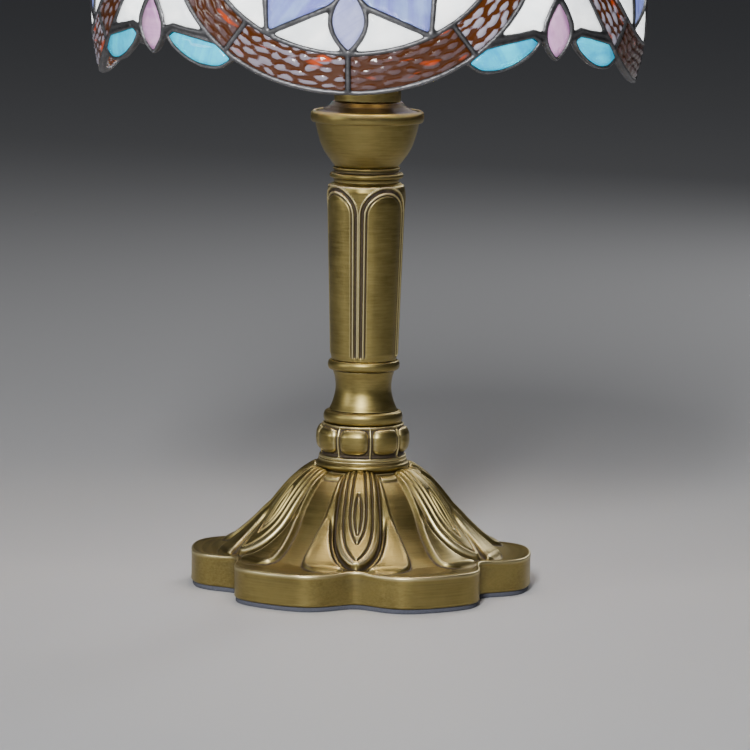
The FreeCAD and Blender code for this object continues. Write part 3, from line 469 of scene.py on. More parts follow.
def leaf_relief(turn, radius):
    """How far the carved leaf stands out of the plain dome, in millimetres."""
    apart = np.abs(leaf_apart(turn))
    across = np.radians(apart) * radius
    edge = along_curve(LEAF_EDGE, radius)
    spade = along_curve(SPADE_EDGE, radius)
    inner = along_curve(LOBE_IN, radius)
    within = fade(edge - across, -0.3, 1.3)
    lift = 1.25 * within + 0.35 * bump_line(edge - across, 1.5, 0.9) * within * fade(50 - radius, -1, 5)
    # the spade-shaped middle: crowned, with three carved lines inside it and a deep one round it
    crown = np.clip(1 - (across / np.maximum(spade, 0.8)) ** 2, 0, 1)
    lift += fade(spade - across, -0.3, 0.7) * (0.25 + 0.9 * crown)
    for line in SPADE_LINES:
        lift -= 0.72 * bump_line(across, along_curve(line, radius), 0.38)
    deep = 0.9 + 0.5 * fade(radius, 26, 34)
    lift -= deep * bump_line(across, spade + 0.55, 0.55) * fade(radius, 16, 20)
    # side lobes, parted from the spade by sharp notches
    lobe = fade(radius, 32.5, 36.5) * fade(55.5 - radius, 0, 6.5)
    half = np.maximum((edge - inner) / 2, 0.6)
    offset = np.clip(np.abs(across - (edge + inner) / 2) / half, 0, 1)
    lift += lobe * 0.75 * np.sqrt(np.clip(1 - offset ** 2.4, 0, 1)) * within
    gap = (across > spade) & (across < inner) & (radius > 32.5)
    depth = fade(radius, 32.5, 37) * fade(np.minimum(across - spade, inner - across), -0.25, 0.7)
    lift -= np.where(gap, 1.35 * depth, 0)
    # a short scalloped tab under the collar, between two leaves
    between = (LEAVES_APART / 2 - apart) * np.pi / 180 * radius
    lift += 0.7 * fade(3.5 - between, 0, 0.6) * fade(22 - 0.5 * (between / 3.5) ** 4 - radius, 0, 0.6)
    margin = foot_outline(turn) - radius
    return lift * fade(radius, 16.5, 18.5) * fade(margin, 1.2, 3.2) * fade(55.5 - radius, 0, 4.5)


def foot_rows(turns, reach):
    """The foot's outside, from its bore over the dome and down the wall, then its hollow underside."""
    radii, heights = zip(*smooth_curve(DOME, 8))

    def dome(radius):
        return np.interp(radius, radii, heights)

    rows = [(radius, 42.2) for radius in np.arange(PIPE_RAD, 17, 2)]
    start, stop, steps = 17.2, reach - SHOULDER, 170
    for i in range(steps + 1):
        radius = start + (stop - start) * i / steps
        slope = (dome(radius + 0.3) - dome(radius - 0.3)) / 0.6
        size = np.sqrt(1 + slope ** 2)
        lift = leaf_relief(turns, radius)
        # the lobes' tops are a little dished, with a raised rim
        margin = reach - radius
        lift -= 0.32 * fade(margin, 1.6, 4) * fade(radius, 53, 56.5) * fade(15 - margin, 0, 6)
        rows.append((radius - lift * slope / size, dome(radius) + lift / size))
    wall_top = rows[-1][1] - SHOULDER
    for turn in map(math.radians, (30, 60, 90)):
        rows.append((stop + SHOULDER * math.sin(turn), wall_top + SHOULDER * math.cos(turn)))
    for part in (0.06, 0.13, 0.2, 0.3, 0.4, 0.5, 0.6, 0.7, 0.8, 0.88, 0.94, 1):
        waist = 0.1 * fade(part, 0.06, 0.2) * fade(1 - part, 0, 0.1)
        rows.append((reach - waist, wall_top + (FELT_TOP + 0.4 - wall_top) * part))
    return rows + [(reach - 0.4, FELT_TOP)] + CAVE


def make_foot():
    """The cast foot as one closed shell but for the cord's hole, and the felt under it."""
    turns = np.linspace(0, math.tau, 1080, endpoint=False)
    reach = foot_outline(turns)
    rows = foot_rows(turns, reach)[::-1]
    grid = turned_grid(rows, turns)
    points = grid.reshape(-1, 3)
    cord_turn = math.radians(90 + LEAF_TURN)
    ahead = np.array([math.cos(cord_turn), math.sin(cord_turn), 0])
    low, high = np.array([tuple(corner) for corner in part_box("cord_bushing")])
    cord = np.array([0, 0, (low + high)[2] / 2 / MM])

    def from_cord(spots):
        """How far out along the cord's hole spots are, and how far from its middle line."""
        along = spots @ ahead
        return along, np.linalg.norm(spots - np.outer(along, ahead) - cord, axis=1)

    # a flat spot for the bushing's flange, so that the curved wall stays clear of it
    flat = float(np.dot(high / MM, ahead)) - 1.3
    along, off = from_cord(points)
    sunk = (off < 5.6) & (along > flat)
    points[sunk] -= np.outer(along[sunk] - flat, ahead)
    # the cord's hole at the back: its edge lies under the flange
    faces = ring_faces(len(rows), len(turns))
    along, off = from_cord(points[np.array(faces)].mean(axis=1))
    faces = [face for face, keep in zip(faces, (off > 4.3) | (along < 40)) if keep]
    piece = new_piece("foot", points * MM, faces, "base", "foot_casting", "antique_brass")
    # the wall's lower edge stands on the felt, where no hand rubs it bright
    worn = hollows(grid, 12, 0.5) - 0.5
    paint(piece, "relief", (0.5 + worn * fade(grid[:, :, 2], 5, 9)).ravel())
    make_felt(turns, reach)


def make_felt(turns, reach):
    """The pad: its cut edge is a little ragged."""
    fuzz = np.array([waver(math.cos(t) * 90, math.sin(t) * 90, 0) for t in turns])
    edge = reach - 0.85 + 0.14 * fuzz
    middle, hole = 30, 11.5
    rows = [(middle, 0), (edge, 0), (edge + 0.2, 0.5), (edge + 0.15, 1.3), (edge, FELT_TOP),
            (middle, FELT_TOP), (hole, FELT_TOP), (hole, 0)]
    points = turned_grid(rows, turns).reshape(-1, 3) * MM
    new_piece("felt", points, ring_faces(len(rows), len(turns)), "base", "felt_pad", "felt")


# ---- the column

PANEL_TURN = math.radians(-56)   # between two of the shaft's arches
KNOP_TURN = math.radians(-12)
SHAFT_RAD, ARCH_SPRING = 13.2, 139.4
KNOP_RAD, KNOP_MID, KNOP_HALF = 16.5, 55.7, 5.2


def arch_relief(turn, height, radius):
    """Four round-headed arches in relief round the shaft."""
    quarter = math.pi / 2
    across = np.abs((turn - PANEL_TURN + quarter / 2) % quarter - quarter / 2) * SHAFT_RAD
    side = quarter / 2 * SHAFT_RAD
    above = np.maximum(height - ARCH_SPRING, 0)
    inward = side - np.hypot(across, above)
    lift = np.where(inward < -0.15, 0.42 + 0.1 * fade(-inward, 0.2, 3), 0.12)
    lift += 0.5 * bump_line(inward, 0.25, 0.36)
    band = 1.7 + 0.35 * fade(height, 136, 148)
    lift -= 0.62 * fade(inward, 0.55, 0.8) * fade(band - inward, -0.15, 0.15)
    lift += 0.22 * bump_line(inward, band + 0.4, 0.3)
    lift -= 0.42 * bump_line(inward, band + 1.1, 0.26)
    lift += 0.16 * fade(inward, band + 1.3, band + 4.5)
    ends = fade(height, 85.6, 87.4) * fade(150.4 - height, 0, 1.2)
    return np.where(radius > 10, lift * ends, 0)


def gadroon_relief(turn, height, radius):
    """Eight rounded lobes round the knop, a thin fillet between each two."""
    step = math.pi / 4
    fillet = np.abs((turn - KNOP_TURN) % step - step / 2) * KNOP_RAD
    half = step / 2 * KNOP_RAD
    up = np.clip(np.abs(height - KNOP_MID) / KNOP_HALF, 0, 1.2)
    side = np.clip((half - fillet) / (half - 0.75), 0, 1.2)
    lobe = np.clip(1 - side ** 3.4 - up ** 4.0, 0, 1) ** 0.6
    lift = -1.15 + 1.75 * lobe + 0.75 * bump_line(fillet, 0, 0.34)
    return np.where(radius > 10, lift * fade(height, 49.2, 50.2) * fade(61 - height, 0, 0.6), 0)


def make_column():
    """From the collar on the foot up to the husk under the socket."""
    tube("foot_collar", 42.45, [(17.35, 42.45), (17.35, 43.9), (16.5, 44.4)] + bead(16.35, 44.6, 47, 1.1)
         + [(16.2, 47.3), (16.4, 47.5), (16.4, 48.15)], 48.15)
    knop = [(16.2, 48.25), (16.2, 49.3), (16, 50), (16.6, 52.5), (16.9, 55), (16.8, 57.5), (16, 60),
            (15, 61.15)]
    tube("gadroon_knop", 48.25, knop, 61.15, relief=gadroon_relief, step=0.3, around=432)
    tube("knop_ring", 61.25, bead(13.5, 61.3, 65.7, 1.2) + [(13.2, 65.95)], 65.95)
    waist = smooth_curve([(12.6, 66.2), (11.35, 69.2), (10.4, 73.5), (10.6, 77.5), (11.5, 80.8)], 8)
    tube("column_waist", 66.05, waist, 80.95)
    tube("shaft_foot_ring", 81.05, bead(12.35, 81.1, 84.7, 1), 84.75)
    shaft = [(12, 84.85), (12.2, 86), (12.9, 110), (13.7, 136), (13.95, 144), (13.9, 147.6), (13.5, 149.2),
             (12.7, 150.3), (12, 150.7)]
    tube("column_shaft", 84.85, shaft, 150.7, relief=arch_relief, step=0.35, around=432)
    tube("capital_rings", 150.75, [(12, 150.75), (12.1, 151.9)] + bead(12.5, 152.1, 154.3, 1.15)
         + [(11.9, 154.5), (11.9, 155.1)] + bead(11.9, 155.2, 156.3, 0.6), 156.3)
    cup = smooth_curve([(11.7, 156.4), (13.4, 158.7), (15.6, 161.8), (17.1, 165), (18.2, 168.6),
                        (19.3, 173.1)], 6)
    cup += smooth_curve([(17.6, 173.1), (16.5, 168.8), (14.6, 163.4), (10.6, 158.5)], 5)
    tube("bowl_cup", 156.4, cup, 158.5)
    lathe("bowl_rim", [(17.8, 173.2), (19, 173.2), (19.5, 172.75)] + bead(20.1, 172.8, 176.9, 0.85)
          + [(19.8, 177.15), (19.45, 176.8), (19.45, 175.15), (17.8, 175.15)])
    cover = [(19.35, 175.2), (19.35, 176.3), (16.6, 177.3), (14.3, 178.7), (12.9, 180.35), (9.9, 180.35),
             (9.9, 178.8)]
    # the cover's brass is darkened to paint the shade that falls on it under the lampshade
    tube("bowl_cover", 175.2, cover, 178.8, finish="shade_darkened_brass")
    lathe("socket_husk", [(10.7, 180.45), (12, 180.45), (12.3, 180.9), (12.3, 194.6), (11.4, 196),
                          (PIPE_RAD, 196), (PIPE_RAD, 194.4), (10.7, 194.4)])


def make_cap():
    """The shade's vented cap, and the turned finial that holds it down."""
    cap = smooth_curve([(10, 312.5), (13, 312.3), (19.5, 311.3), (26.5, 308.4), (31, 304.9)], 8)
    cap += [(31, 304.85), (31.9, 304.85), (32.1, 305.3)]
    cap += smooth_curve([(32, 305.7), (27.5, 309.6), (20, 312.6), (13, 313.5), (10, 313.65)], 8)
    lathe("vase_cap", cap + [(3.25, 313.65), (3.25, 312.5)], body="shade", around=360)
    finial = [(3.05, 313.85), (6.3, 313.85), (6.3, 315)] + bead(5.7, 315.1, 316.6, 0.6)
    finial += [(4.4, 317.8), (4.4, 321.2)] + bead(4.4, 321.4, 322.8, 0.8)
    finial += [(4.7, 323.2), (6, 326.4), (6.1, 329.5), (5, 333), (2.4, 336.8), (1.7, 338.6), (2.5, 340.8),
               (2.3, 343.6), (0.9, 345.9), (0.15, 345.95), (0.15, 329.5), (3.05, 328.6)]
    lathe("finial", finial, "bright_brass", "finial", "antique_brass", around=96, step=0.4)


# ---- socket, bulb and harp

BULB_THREAD = (229.5, 244.5)     # the heights between which the bulb's cap is threaded
THREAD_PITCH, THREAD_DEEP = 3.63, 1.15
GLOBE_MID, GLOBE_RAD = 272.6, 23.45
GLOBE_FOOT = (17.9, 257.4)       # the radius and height where the bulb's neck meets its globe
BULB_WALL = 0.75


def dress(names, finish):
    """Gives carried-over CAD nodes a finish; their shapes are left alone."""
    for name in names.split():
        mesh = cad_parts[name].data
        mesh.materials.clear()
        mesh.materials.append(FINISH[finish])


def thread_relief(turn, height, radius):
    """A rolled round thread climbing about the bulb's cap."""
    low, high = BULB_THREAD
    ends = fade(height, low, low + 1.5) * fade(high - height, 0, 1.5)
    wave = (np.sin(2 * np.pi * height / THREAD_PITCH - turn) - 1) / 2
    return np.where(radius > 12.4, THREAD_DEEP * wave * ends, 0)


def make_bulb():
    cap = [(0.1, 223.65), (8, 223.65), (10.6, 226.3), (12.9, 228.7), (12.95, 245.9), (11.7, 245.95),
           (11.7, 242.1), (0.1, 242.1)]
    lathe("bulb_screw_base", cap, "cap_alloy", "bulb", relief=thread_relief)
    outer = [(11.6, 242.1), (11.6, 247), (12.6, 250), (15.4, 254.5)]
    start = math.atan2(GLOBE_FOOT[1] - GLOBE_MID, GLOBE_FOOT[0])
    for i in range(25):
        turn = start + (math.pi / 2 - 0.01 - start) * i / 24
        outer.append((GLOBE_RAD * math.cos(turn), GLOBE_MID + GLOBE_RAD * math.sin(turn)))
    inner = [(max(r - BULB_WALL, 0.1), z - (BULB_WALL if z > GLOBE_MID else 0)) for r, z in reversed(outer)]
    lathe("bulb_glass", outer + inner, "frosted_glass", "bulb", step=0.9, around=160)


def make_turned_fittings():
    cap = [(6.7, 197.45), (6.8, 199.7), (9.5, 200.7), (14.4, 202.3), (16.3, 203.1), (16.35, 203.95),
           (15.75, 203.95), (15.75, 208.95), (15.3, 208.95), (15.3, 205.05)]
    tube("socket_cap", 197.45, cap, 205.05, slot="bright_brass")
    washer = [(3.4, 311.35), (8.6, 311.35), (8.95, 311.7), (8.95, 312), (8.6, 312.35), (3.4, 312.35)]
    lathe("seat_washer", washer, "bright_brass", "seat", around=120)
    barrel = [(1.75, 197.85), (2.8, 197.85), (3.1, 198.6), (3.1, 199.6)] + bead(3.1, 199.7, 200.5, -0.25)
    barrel += [(3.15, 200.7), (3.15, 210.6), (2.7, 211.8), (2.2, 212.7), (1.75, 212.75)]
    for name, shift in (("sleeve_left", -21), ("sleeve_right", 21)):
        lathe(name, barrel, "bright_brass", name, around=64, step=0.6, shift=shift)


def make_fittings():
    """Finishes for the fittings that keep their CAD shape; the turned ones and the bulb are made anew."""
    antique_brass("bright_brass", (1.45, 1.4, 1.3))
    metal("zinc_steel", (0.42, 0.42, 0.43), (0.6, 0.6, 0.6))
    metal("plain_brass", (0.42, 0.33, 0.14), (0.6, 0.48, 0.22))
    metal("cap_alloy", (0.55, 0.55, 0.55), (0.78, 0.77, 0.75), 0.22)
    metal("contact_tin", (0.4, 0.4, 0.41), (0.62, 0.62, 0.62), 0.35)
    plain("black_plastic", (0.012, 0.012, 0.013), (0.028, 0.028, 0.03), 0.3)
    plain("phenolic", (0.02, 0.014, 0.01), (0.045, 0.03, 0.02), 0.35)
    plain("fibre_liner", (0.3, 0.24, 0.16), (0.42, 0.35, 0.25), 0.8, 1500)
    plain("ballast_iron", (0.03, 0.03, 0.032), (0.07, 0.065, 0.06), 0.6, 300)
    bulb_skin("frosted_glass", (0.95, 0.94, 0.9), 0.9, 0.35, 0.42)
    bulb_skin("clear_glass", (0.95, 0.97, 0.97), 0.1, 0.95, 0.08)
    bulb_skin("filament_wire", (0.9, 0.6, 0.35), 4, 0, 0.42)
    dress("threaded_pipe base_nut base_washer switch_spindle", "zinc_steel")
    dress("socket_shell harp_saddle screw_shell centre_contact harp_loop harp_stud", "plain_brass")
    dress("bulb_contact", "contact_tin")
    dress("weight_plate", "ballast_iron")
    dress("cord_bushing", "black_plastic")
    dress("switch_block switch_knob", "phenolic")
    dress("socket_liner", "fibre_liner")
    dress("bulb_stem", "clear_glass")
    dress("bulb_filament", "filament_wire")
    make_turned_fittings()
    make_bulb()


# ---- the shade
# The dome's design is drawn flat, in millimetres: u runs round it from a medallion's middle and
# v runs up it from the lowest point of the medallion rings.

SHADE_RAD, SHADE_HALF_Z, SHADE_MID_Z, SHADE_LOW = 101.6, 94, 215, 190
GLASS = 2.4
MEDAL_TURN = math.radians(-4)
SEAM_TURN = 45                   # two quarters of the shade meet this far from a medallion's middle
RING_U, RING_V, STAR_U, STAR_V = 72, 62, 58, 48
CROWN_LOW, CROWN_HIGH = 126.5, 151
RIM_V = 11.6                     # the free edge's height on the seam between two quarters
JEWEL = 0.14
STAR_TURNS = range(0, 360, 60)   # the directions of the star's six petals
HALF_POINT = 30
PETAL_IN, PETAL_WIDE = 0.47, 8.3
KITE_SIDE, KITE_SPREAD = 0.67, 20.5
RING_SEAMS = (0, 39, 74, 109, 144, 180)
SEAM_HALF, RIM_HALF = 1.12, 0.78   # a solder bead's half width, between panes and on the thin rim pieces
THIN_RIM = ("fleur_petals", "fleur_leaves")
FILL_STEP = 3                    # the spacing of the solder fill's points


# latitudes up the dome, in radians, and the heights v that they lie at
LATS = np.linspace(math.asin((SHADE_LOW - SHADE_MID_Z) / SHADE_HALF_Z), math.pi / 2, 3000)
RATE = np.hypot(SHADE_RAD * np.sin(LATS), SHADE_HALF_Z * np.cos(LATS))
CLIMBED = np.concatenate([[0], np.cumsum((RATE[1:] + RATE[:-1]) / 2 * np.diff(LATS))])


def latitude(v):
    """The latitude of a height v; below the table it goes on at its first rate."""
    rate = (LATS[1] - LATS[0]) / (CLIMBED[1] - CLIMBED[0])
    return np.where(v < 0, LATS[0] + rate * v, np.interp(v, CLIMBED, LATS))


def girth(v):
    """The radius that u is measured on: the dome's own, but never less than at a medallion's middle."""
    return SHADE_RAD * np.cos(latitude(np.minimum(v, RING_V)))


def on_dome(u, v, quarter=0, out=0.0):
    """Points on the dome, moved out along its normal."""
    turn = FRONT + MEDAL_TURN + math.pi / 2 * quarter + u / girth(v)
    lat = latitude(v)
    flat = np.stack([np.cos(turn), np.sin(turn), 0 * turn], axis=-1)
    up = np.array([0, 0, 1.0])
    cos, sin = np.cos(lat)[..., None], np.sin(lat)[..., None]
    normal = unit(flat * cos / SHADE_RAD + up * sin / SHADE_HALF_Z)
    place = flat * cos * SHADE_RAD + up * (SHADE_MID_Z + SHADE_HALF_Z * sin)
    return place + normal * np.asarray(out)[..., None]


def at_turn(turn, v):
    """The flat place of a height v on a meridian, turn degrees from a medallion's middle."""
    return math.radians(turn) * float(girth(v)), v


def oval(wide, tall, turn):
    """A place on an ellipse about a medallion's middle, turn degrees round from its lowest point."""
    a = math.radians(turn)
    return wide * math.sin(a), RING_V - tall * math.cos(a)


def star(reach, turn):
    """A place in a medallion, reach times as far out as its ring's inner edge."""
    return oval(reach * STAR_U, reach * STAR_V, turn)


def ring_edge(v):
    """The right-hand place on a medallion ring's outer edge at a height v."""
    rise = (v - RING_V) / RING_V
    return RING_U * math.sqrt(max(1 - rise * rise, 0)), v


def mirrored(outline):
    return [(-u, v) for u, v in reversed(outline)]


def both(outline):
    return [outline, mirrored(outline)]


def ring_outlines():
    outlines = []
    for start, stop in zip(RING_SEAMS, RING_SEAMS[1:]):
        turns = [start + (stop - start) * i / 10 for i in range(11)]
        outlines += both([oval(RING_U, RING_V, turn) for turn in turns]
                         + [star(1, turn) for turn in reversed(turns)])
    return outlines


def petal_half(reach):
    """Half a star petal's width, in degrees, at a reach from the middle."""
    return PETAL_WIDE * math.sin(math.pi * (1 - reach) / (1 - PETAL_IN))


def petal_outlines():
    reaches = [1 - (1 - PETAL_IN) * i / 14 for i in range(15)]
    return [[star(r, turn + petal_half(r)) for r in reaches]
            + [star(r, turn - petal_half(r)) for r in reversed(reaches[1:-1])] for turn in STAR_TURNS]


def kite_outlines():
    side = [(KITE_SIDE, KITE_SPREAD)]
    side += [(reach, HALF_POINT - petal_half(reach)) for reach in (0.62, 0.57, 0.53, 0.5)]
    side += [(PETAL_IN, HALF_POINT), (JEWEL, HALF_POINT)]
    return [[star(1, turn)] + [star(reach, turn + spread) for reach, spread in side]
            + [star(JEWEL, turn)] + [star(reach, turn - spread) for reach, spread in reversed(side)]
            for turn in range(HALF_POINT, 360, 60)]


def corner_outlines():
    """The white panes between the star's petals and kites and the ring."""
    reaches = (KITE_SIDE, 0.71, 0.75, 0.8, 0.85, 0.9, 0.95, 1)
    return [[star(r, turn + side * petal_half(r)) for r in reaches]
            + [star(1, turn + side * HALF_POINT * i / 6) for i in range(1, 7)]
            for turn in STAR_TURNS for side in (1, -1)]


def lens(turn, low, high, wide, fat):
    """A pointed leaf on a meridian, wide degrees to each side where it is fattest."""
    swell = math.log(0.5) / math.log(fat)
    parts = [i / 14 for i in range(15)]
    side = [(wide * math.sin(math.pi * part ** swell), low + (high - low) * part) for part in parts]
    right = [at_turn(turn + half, v) for half, v in side]
    return right + [at_turn(turn - half, v) for half, v in reversed(side[1:-1])]


def leaf_outline():
    under = [(24, 10.8), (27, 8), (30, 7.8), (33, 8.9), (36, 11.3), (38.8, 14.8), (40.4, 18.3)]
    over = [(38.6, 20), (35, 18.9), (31.8, 17.8), (27.6, 16.3)]
    return [at_turn(*p) for p in smooth_curve(under, 3)] + [at_turn(*p) for p in over]


def fleur_outline():
    foot = [(35, 20.6), (38.6, 21.8), (41.2, 20.4)]
    petal = [(41.5, 24.5), (43, 29.5), (44.7, 33.8), (44.7, 44), (44.7, 57)]
    return [at_turn(*p) for p in foot + petal] + [ring_edge(52 - 32.6 * i / 12) for i in range(13)]


def shoulder_outline():
    middle = [(44.7, 67)] + smooth_curve([(44.7, 88), (41, 97), (38.6, 108), (41, 117)], 4)
    top = [(turn, CROWN_LOW - 1) for turn in (44, 38, 32, 26, 20)]
    return [at_turn(*p) for p in middle + top] + [ring_edge(119 - 44 * i / 12) for i in range(13)]


def crown_outlines():
    outlines = []
    wide = SEAM_TURN / 2
    for k in range(4):
        turns = [wide * (k + i / 8) - SEAM_TURN for i in range(9)]
        lower = [at_turn(turn, CROWN_LOW) for turn in turns]
        outlines.append(lower + [at_turn(turn, CROWN_HIGH) for turn in reversed(turns)])
    return outlines


def signed_area(outline):
    """An outline's area, above 0 where it runs anticlockwise."""
    return sum(a[0] * b[1] - b[0] * a[1] for a, b in zip(outline, outline[1:] + outline[:1])) / 2


def inset(outline, came):
    """An outline shrunk about its middle, to leave about came round it."""
    girdle = sum(math.dist(a, b) for a, b in zip(outline, outline[1:] + outline[:1]))
    mid_u, mid_v = np.mean(outline, axis=0)
    scale = math.sqrt(max(1 - girdle * came / abs(signed_area(outline)), 0.3))
    return [(mid_u + (u - mid_u) * scale, mid_v + (v - mid_v) * scale) for u, v in outline]


def inside(points, outline):
    """Which points lie in the outline, and how far each is from its edge."""
    a = np.array(outline)
    b = np.roll(a, -1, axis=0)
    p = points[:, None, :]
    edge = b - a
    rising = (a[:, 1] > p[..., 1]) != (b[:, 1] > p[..., 1])
    climb = np.where(np.abs(edge[:, 1]) < 1e-9, 1e-9, edge[:, 1])
    crossing = p[..., 0] < edge[:, 0] * (p[..., 1] - a[:, 1]) / climb + a[:, 0]
    within = (rising & crossing).sum(axis=1) % 2 == 1
    part = np.clip(((p - a) * edge).sum(-1) / np.maximum((edge ** 2).sum(-1), 1e-9), 0, 1)
    gap = np.linalg.norm(p - (a + part[..., None] * edge), axis=-1).min(axis=1)
    return within, gap


def flat_pane(outline, step):
    """Triangulates a pane: its points, its triangles, its edge loop and the distance from its edge."""
    rim = resampled(inset(outline, 0.5), step)
    low, high = np.min(rim, axis=0), np.max(rim, axis=0)
    us, vs = np.arange(low[0], high[0], step), np.arange(low[1], high[1], step * 0.866)
    grid = np.array([(u + step / 2 * (j % 2), v) for j, v in enumerate(vs) for u in us]).reshape(-1, 2)
    within, gap = inside(grid, rim)
    points = [Vector(p) for p in rim] + [Vector(p) for p in grid[within & (gap > 0.55 * step)]]
    verts, _, faces, *_ = delaunay_2d_cdt(points, [], [list(range(len(rim)))], 1, 1e-5)
    flat = np.array([tuple(v) for v in verts])
    edges = dict.fromkeys((a, b) for face in faces for a, b in zip(face, face[1:] + face[:1]))
    border = [(a, b) for a, b in edges if (b, a) not in edges]
    return flat, faces, border, inside(flat, rim)[1]


RIDGE_GAP, DASH_LONG = 2.9, 6.4


def ring_place(u, v):
    """Millimetres along a medallion's ring, and across it from the medallion's middle."""
    turn = np.arctan2(u / RING_U, (RING_V - v) / RING_V)
    return turn * 62, np.hypot(u / (RING_U + STAR_U), (v - RING_V) / (RING_V + STAR_V)) * 118


def ripple_ridges(u, v, seed):
    """Rolled ripple glass: short broken ridges that follow the medallion's ring."""
    lift = []
    for a, r in zip(*ring_place(u, v)):
        sway = 1.1 * waver(a * 0.1, r * 0.12, seed) + 0.5 * waver(a * 0.32, r * 0.3, seed + 5)
        slip = 2.4 * waver(a * 0.16, r * 0.5, seed + 3)
        broken = waver(a * 0.22, r * 0.6, seed + 9)
        line = (r + sway) / RIDGE_GAP
        crest = 0.5 + 0.5 * math.cos(math.tau * line)
        dash = math.cos(math.tau * ((a + slip) / DASH_LONG + 0.5 * round(line)))
        lift.append(0.8 * crest - 0.4 + 0.5 * dash * crest + 0.45 * broken)
    return 0.55 * np.array(lift)


def soft_waves(u, v, seed):
    """The low, smooth waves of plain rolled glass."""
    return np.array([0.1 * waver(a * 0.09, b * 0.09, seed) + 0.03 * waver(a * 0.4, b * 0.4, seed)
                     for a, b in zip(u, v)])


def glass_group(node, outlines, slot):
    """All panes of one colour, on all four sides of the shade, as one piece."""
    rolled = slot == "ripple_amber"
    crown = 1.6 if node == "star_jewels" else 0.25
    verts, faces = [], []
    painted = []
    base = 0
    for outline in outlines:
        flat, tris, border, gap = flat_pane(outline, 0.8 if rolled else 2.4)
        u, v = flat[:, 0], flat[:, 1]
        count = len(flat)
        swell = np.sqrt(np.clip(gap / 3, 0, 1)) * crown
        for quarter in range(4):
            seed, shade = rng.uniform(0, 60), rng.random()
            if rolled:
                waves = ripple_ridges(u, v, seed)
                along, across = ring_place(u, v)
            else:
                waves = soft_waves(u, v, seed)
                along = u * math.cos(seed) + v * math.sin(seed)
                across = v * math.cos(seed) - u * math.sin(seed)
            eased = waves * np.clip(gap / 0.8, 0.25, 1)
            verts.append(on_dome(u, v, quarter, -0.15 + swell + eased))
            verts.append(on_dome(u, v, quarter, -GLASS + 0.3 * eased))
            faces += [[base + a for a in tri] for tri in tris]
            faces += [[base + count + a for a in reversed(tri)] for tri in tris]
            faces += [[base + b, base + a, base + count + a, base + count + b] for a, b in border]
            painted.append(np.tile([np.full(count, shade), along + seed * 40, across, waves], 2))
            base += 2 * count
    piece = new_piece(node, np.concatenate(verts) * MM, faces, "shade", node, slot)
    for name, values in zip(("tone", "flow", "rise", "ridge"), np.concatenate(painted, axis=1)):
        paint(piece, name, values)


def solder_run(outline, wide, quarter, verts, faces):
    """A bead of solder along a pane's outline, as a closed tube that hugs the dome."""
    path = np.array(resampled(outline, 1.3))
    u, v = path[:, 0], path[:, 1]
    place = on_dome(u, v, quarter)
    normal = unit(on_dome(u, v, quarter, 1) - place)
    ahead = unit(np.roll(place, -1, axis=0) - np.roll(place, 1, axis=0))
    side = np.cross(normal, ahead)
    shift = 3.1
    wobble = np.array([noise.noise(Vector(p) * 0.13 + Vector((shift, 0, 0))) for p in place])
    fine = np.array([noise.noise(Vector(p) * 0.45 + Vector((0, shift, 0))) for p in place])
    half = wide + 0.16 * wobble + 0.08 * fine
    top = 0.72 + 0.16 * wobble + 0.1 * fine
    spokes = 10
    faces += ring_faces(spokes, len(path), sum(len(block) for block in verts))
    for k in range(spokes):
        a = math.tau * k / spokes
        high = np.where(math.sin(a) > 0, top + 1.1, 1.7) * math.sin(a) - 1.1
        verts.append(place + side * (half * math.cos(a))[:, None] + normal * high[:, None])


def shade_region():
    """One quarter of the dome, down to its scalloped rim."""
    under = [(SEAM_TURN, RIM_V), (43.4, 14.4), (41.9, 17.4), (40.4, 18), (38.8, 14.8), (36, 11.3),
             (33, 8.9), (30, 7.8), (27, 8), (24, 10.8)]
    right = [at_turn(*p) for p in under] + [oval(RING_U, RING_V, 33 - 1.5 * i) for i in range(23)]
    over = [at_turn(SEAM_TURN - 3 * i, CROWN_HIGH) for i in range(31)]
    seam = [at_turn(SEAM_TURN, CROWN_HIGH + (RIM_V - CROWN_HIGH) * i / 40) for i in range(1, 40)]
    return over[::-1] + seam + right + mirrored(right[:-1]) + mirrored(seam)


def on_seam(outline):
    """Whether a pane straddles the meridian where two quarters meet."""
    sides = [u - at_turn(SEAM_TURN, v)[0] for u, v in outline]
    return min(sides) < -0.1 and max(sides) > 0.1


def fill_solder(outlines, verts, faces):
    """Solder wherever the design has no glass: a prism on each such triangle of the flat design."""
    # a pane that straddles a quarter's last meridian is given once, but its first one needs it too
    astride = [mirrored(outline) for outline in outlines if on_seam(outline)]
    region = shade_region()
    points, rings = [], []
    for loop in [region] + outlines + astride:
        rings.append(list(range(len(points), len(points) + len(loop))))
        # anticlockwise is the sense that delaunay_2d_cdt takes for a face's inside
        points += [Vector(p) for p in (loop if signed_area(loop) > 0 else loop[::-1])]
    wide = int(max(u for u, _ in region) / FILL_STEP) + 1
    tall = int(CROWN_HIGH / FILL_STEP) + 1
    points += [Vector((i * FILL_STEP, j * FILL_STEP)) for i in range(-wide, wide + 1) for j in range(tall)]
    flat, _, tris, _, _, owners = delaunay_2d_cdt(points, [], rings, 1, 1e-4)
    flat = np.array([tuple(p) for p in flat])
    base = sum(len(block) for block in verts)
    for tri, owner in zip(tris, owners):
        if list(owner) != [0]:
            continue
        u, v = flat[list(tri), 0], flat[list(tri), 1]
        for quarter in range(4):
            verts.append(np.concatenate([on_dome(u, v, quarter, 0.2), on_dome(u, v, quarter, -2.3)]))
            prism = [(0, 1, 2), (5, 4, 3), (0, 3, 4, 1), (1, 4, 5, 2), (2, 5, 3, 0)]
            faces += [[base + i for i in face] for face in prism]
            base += 6


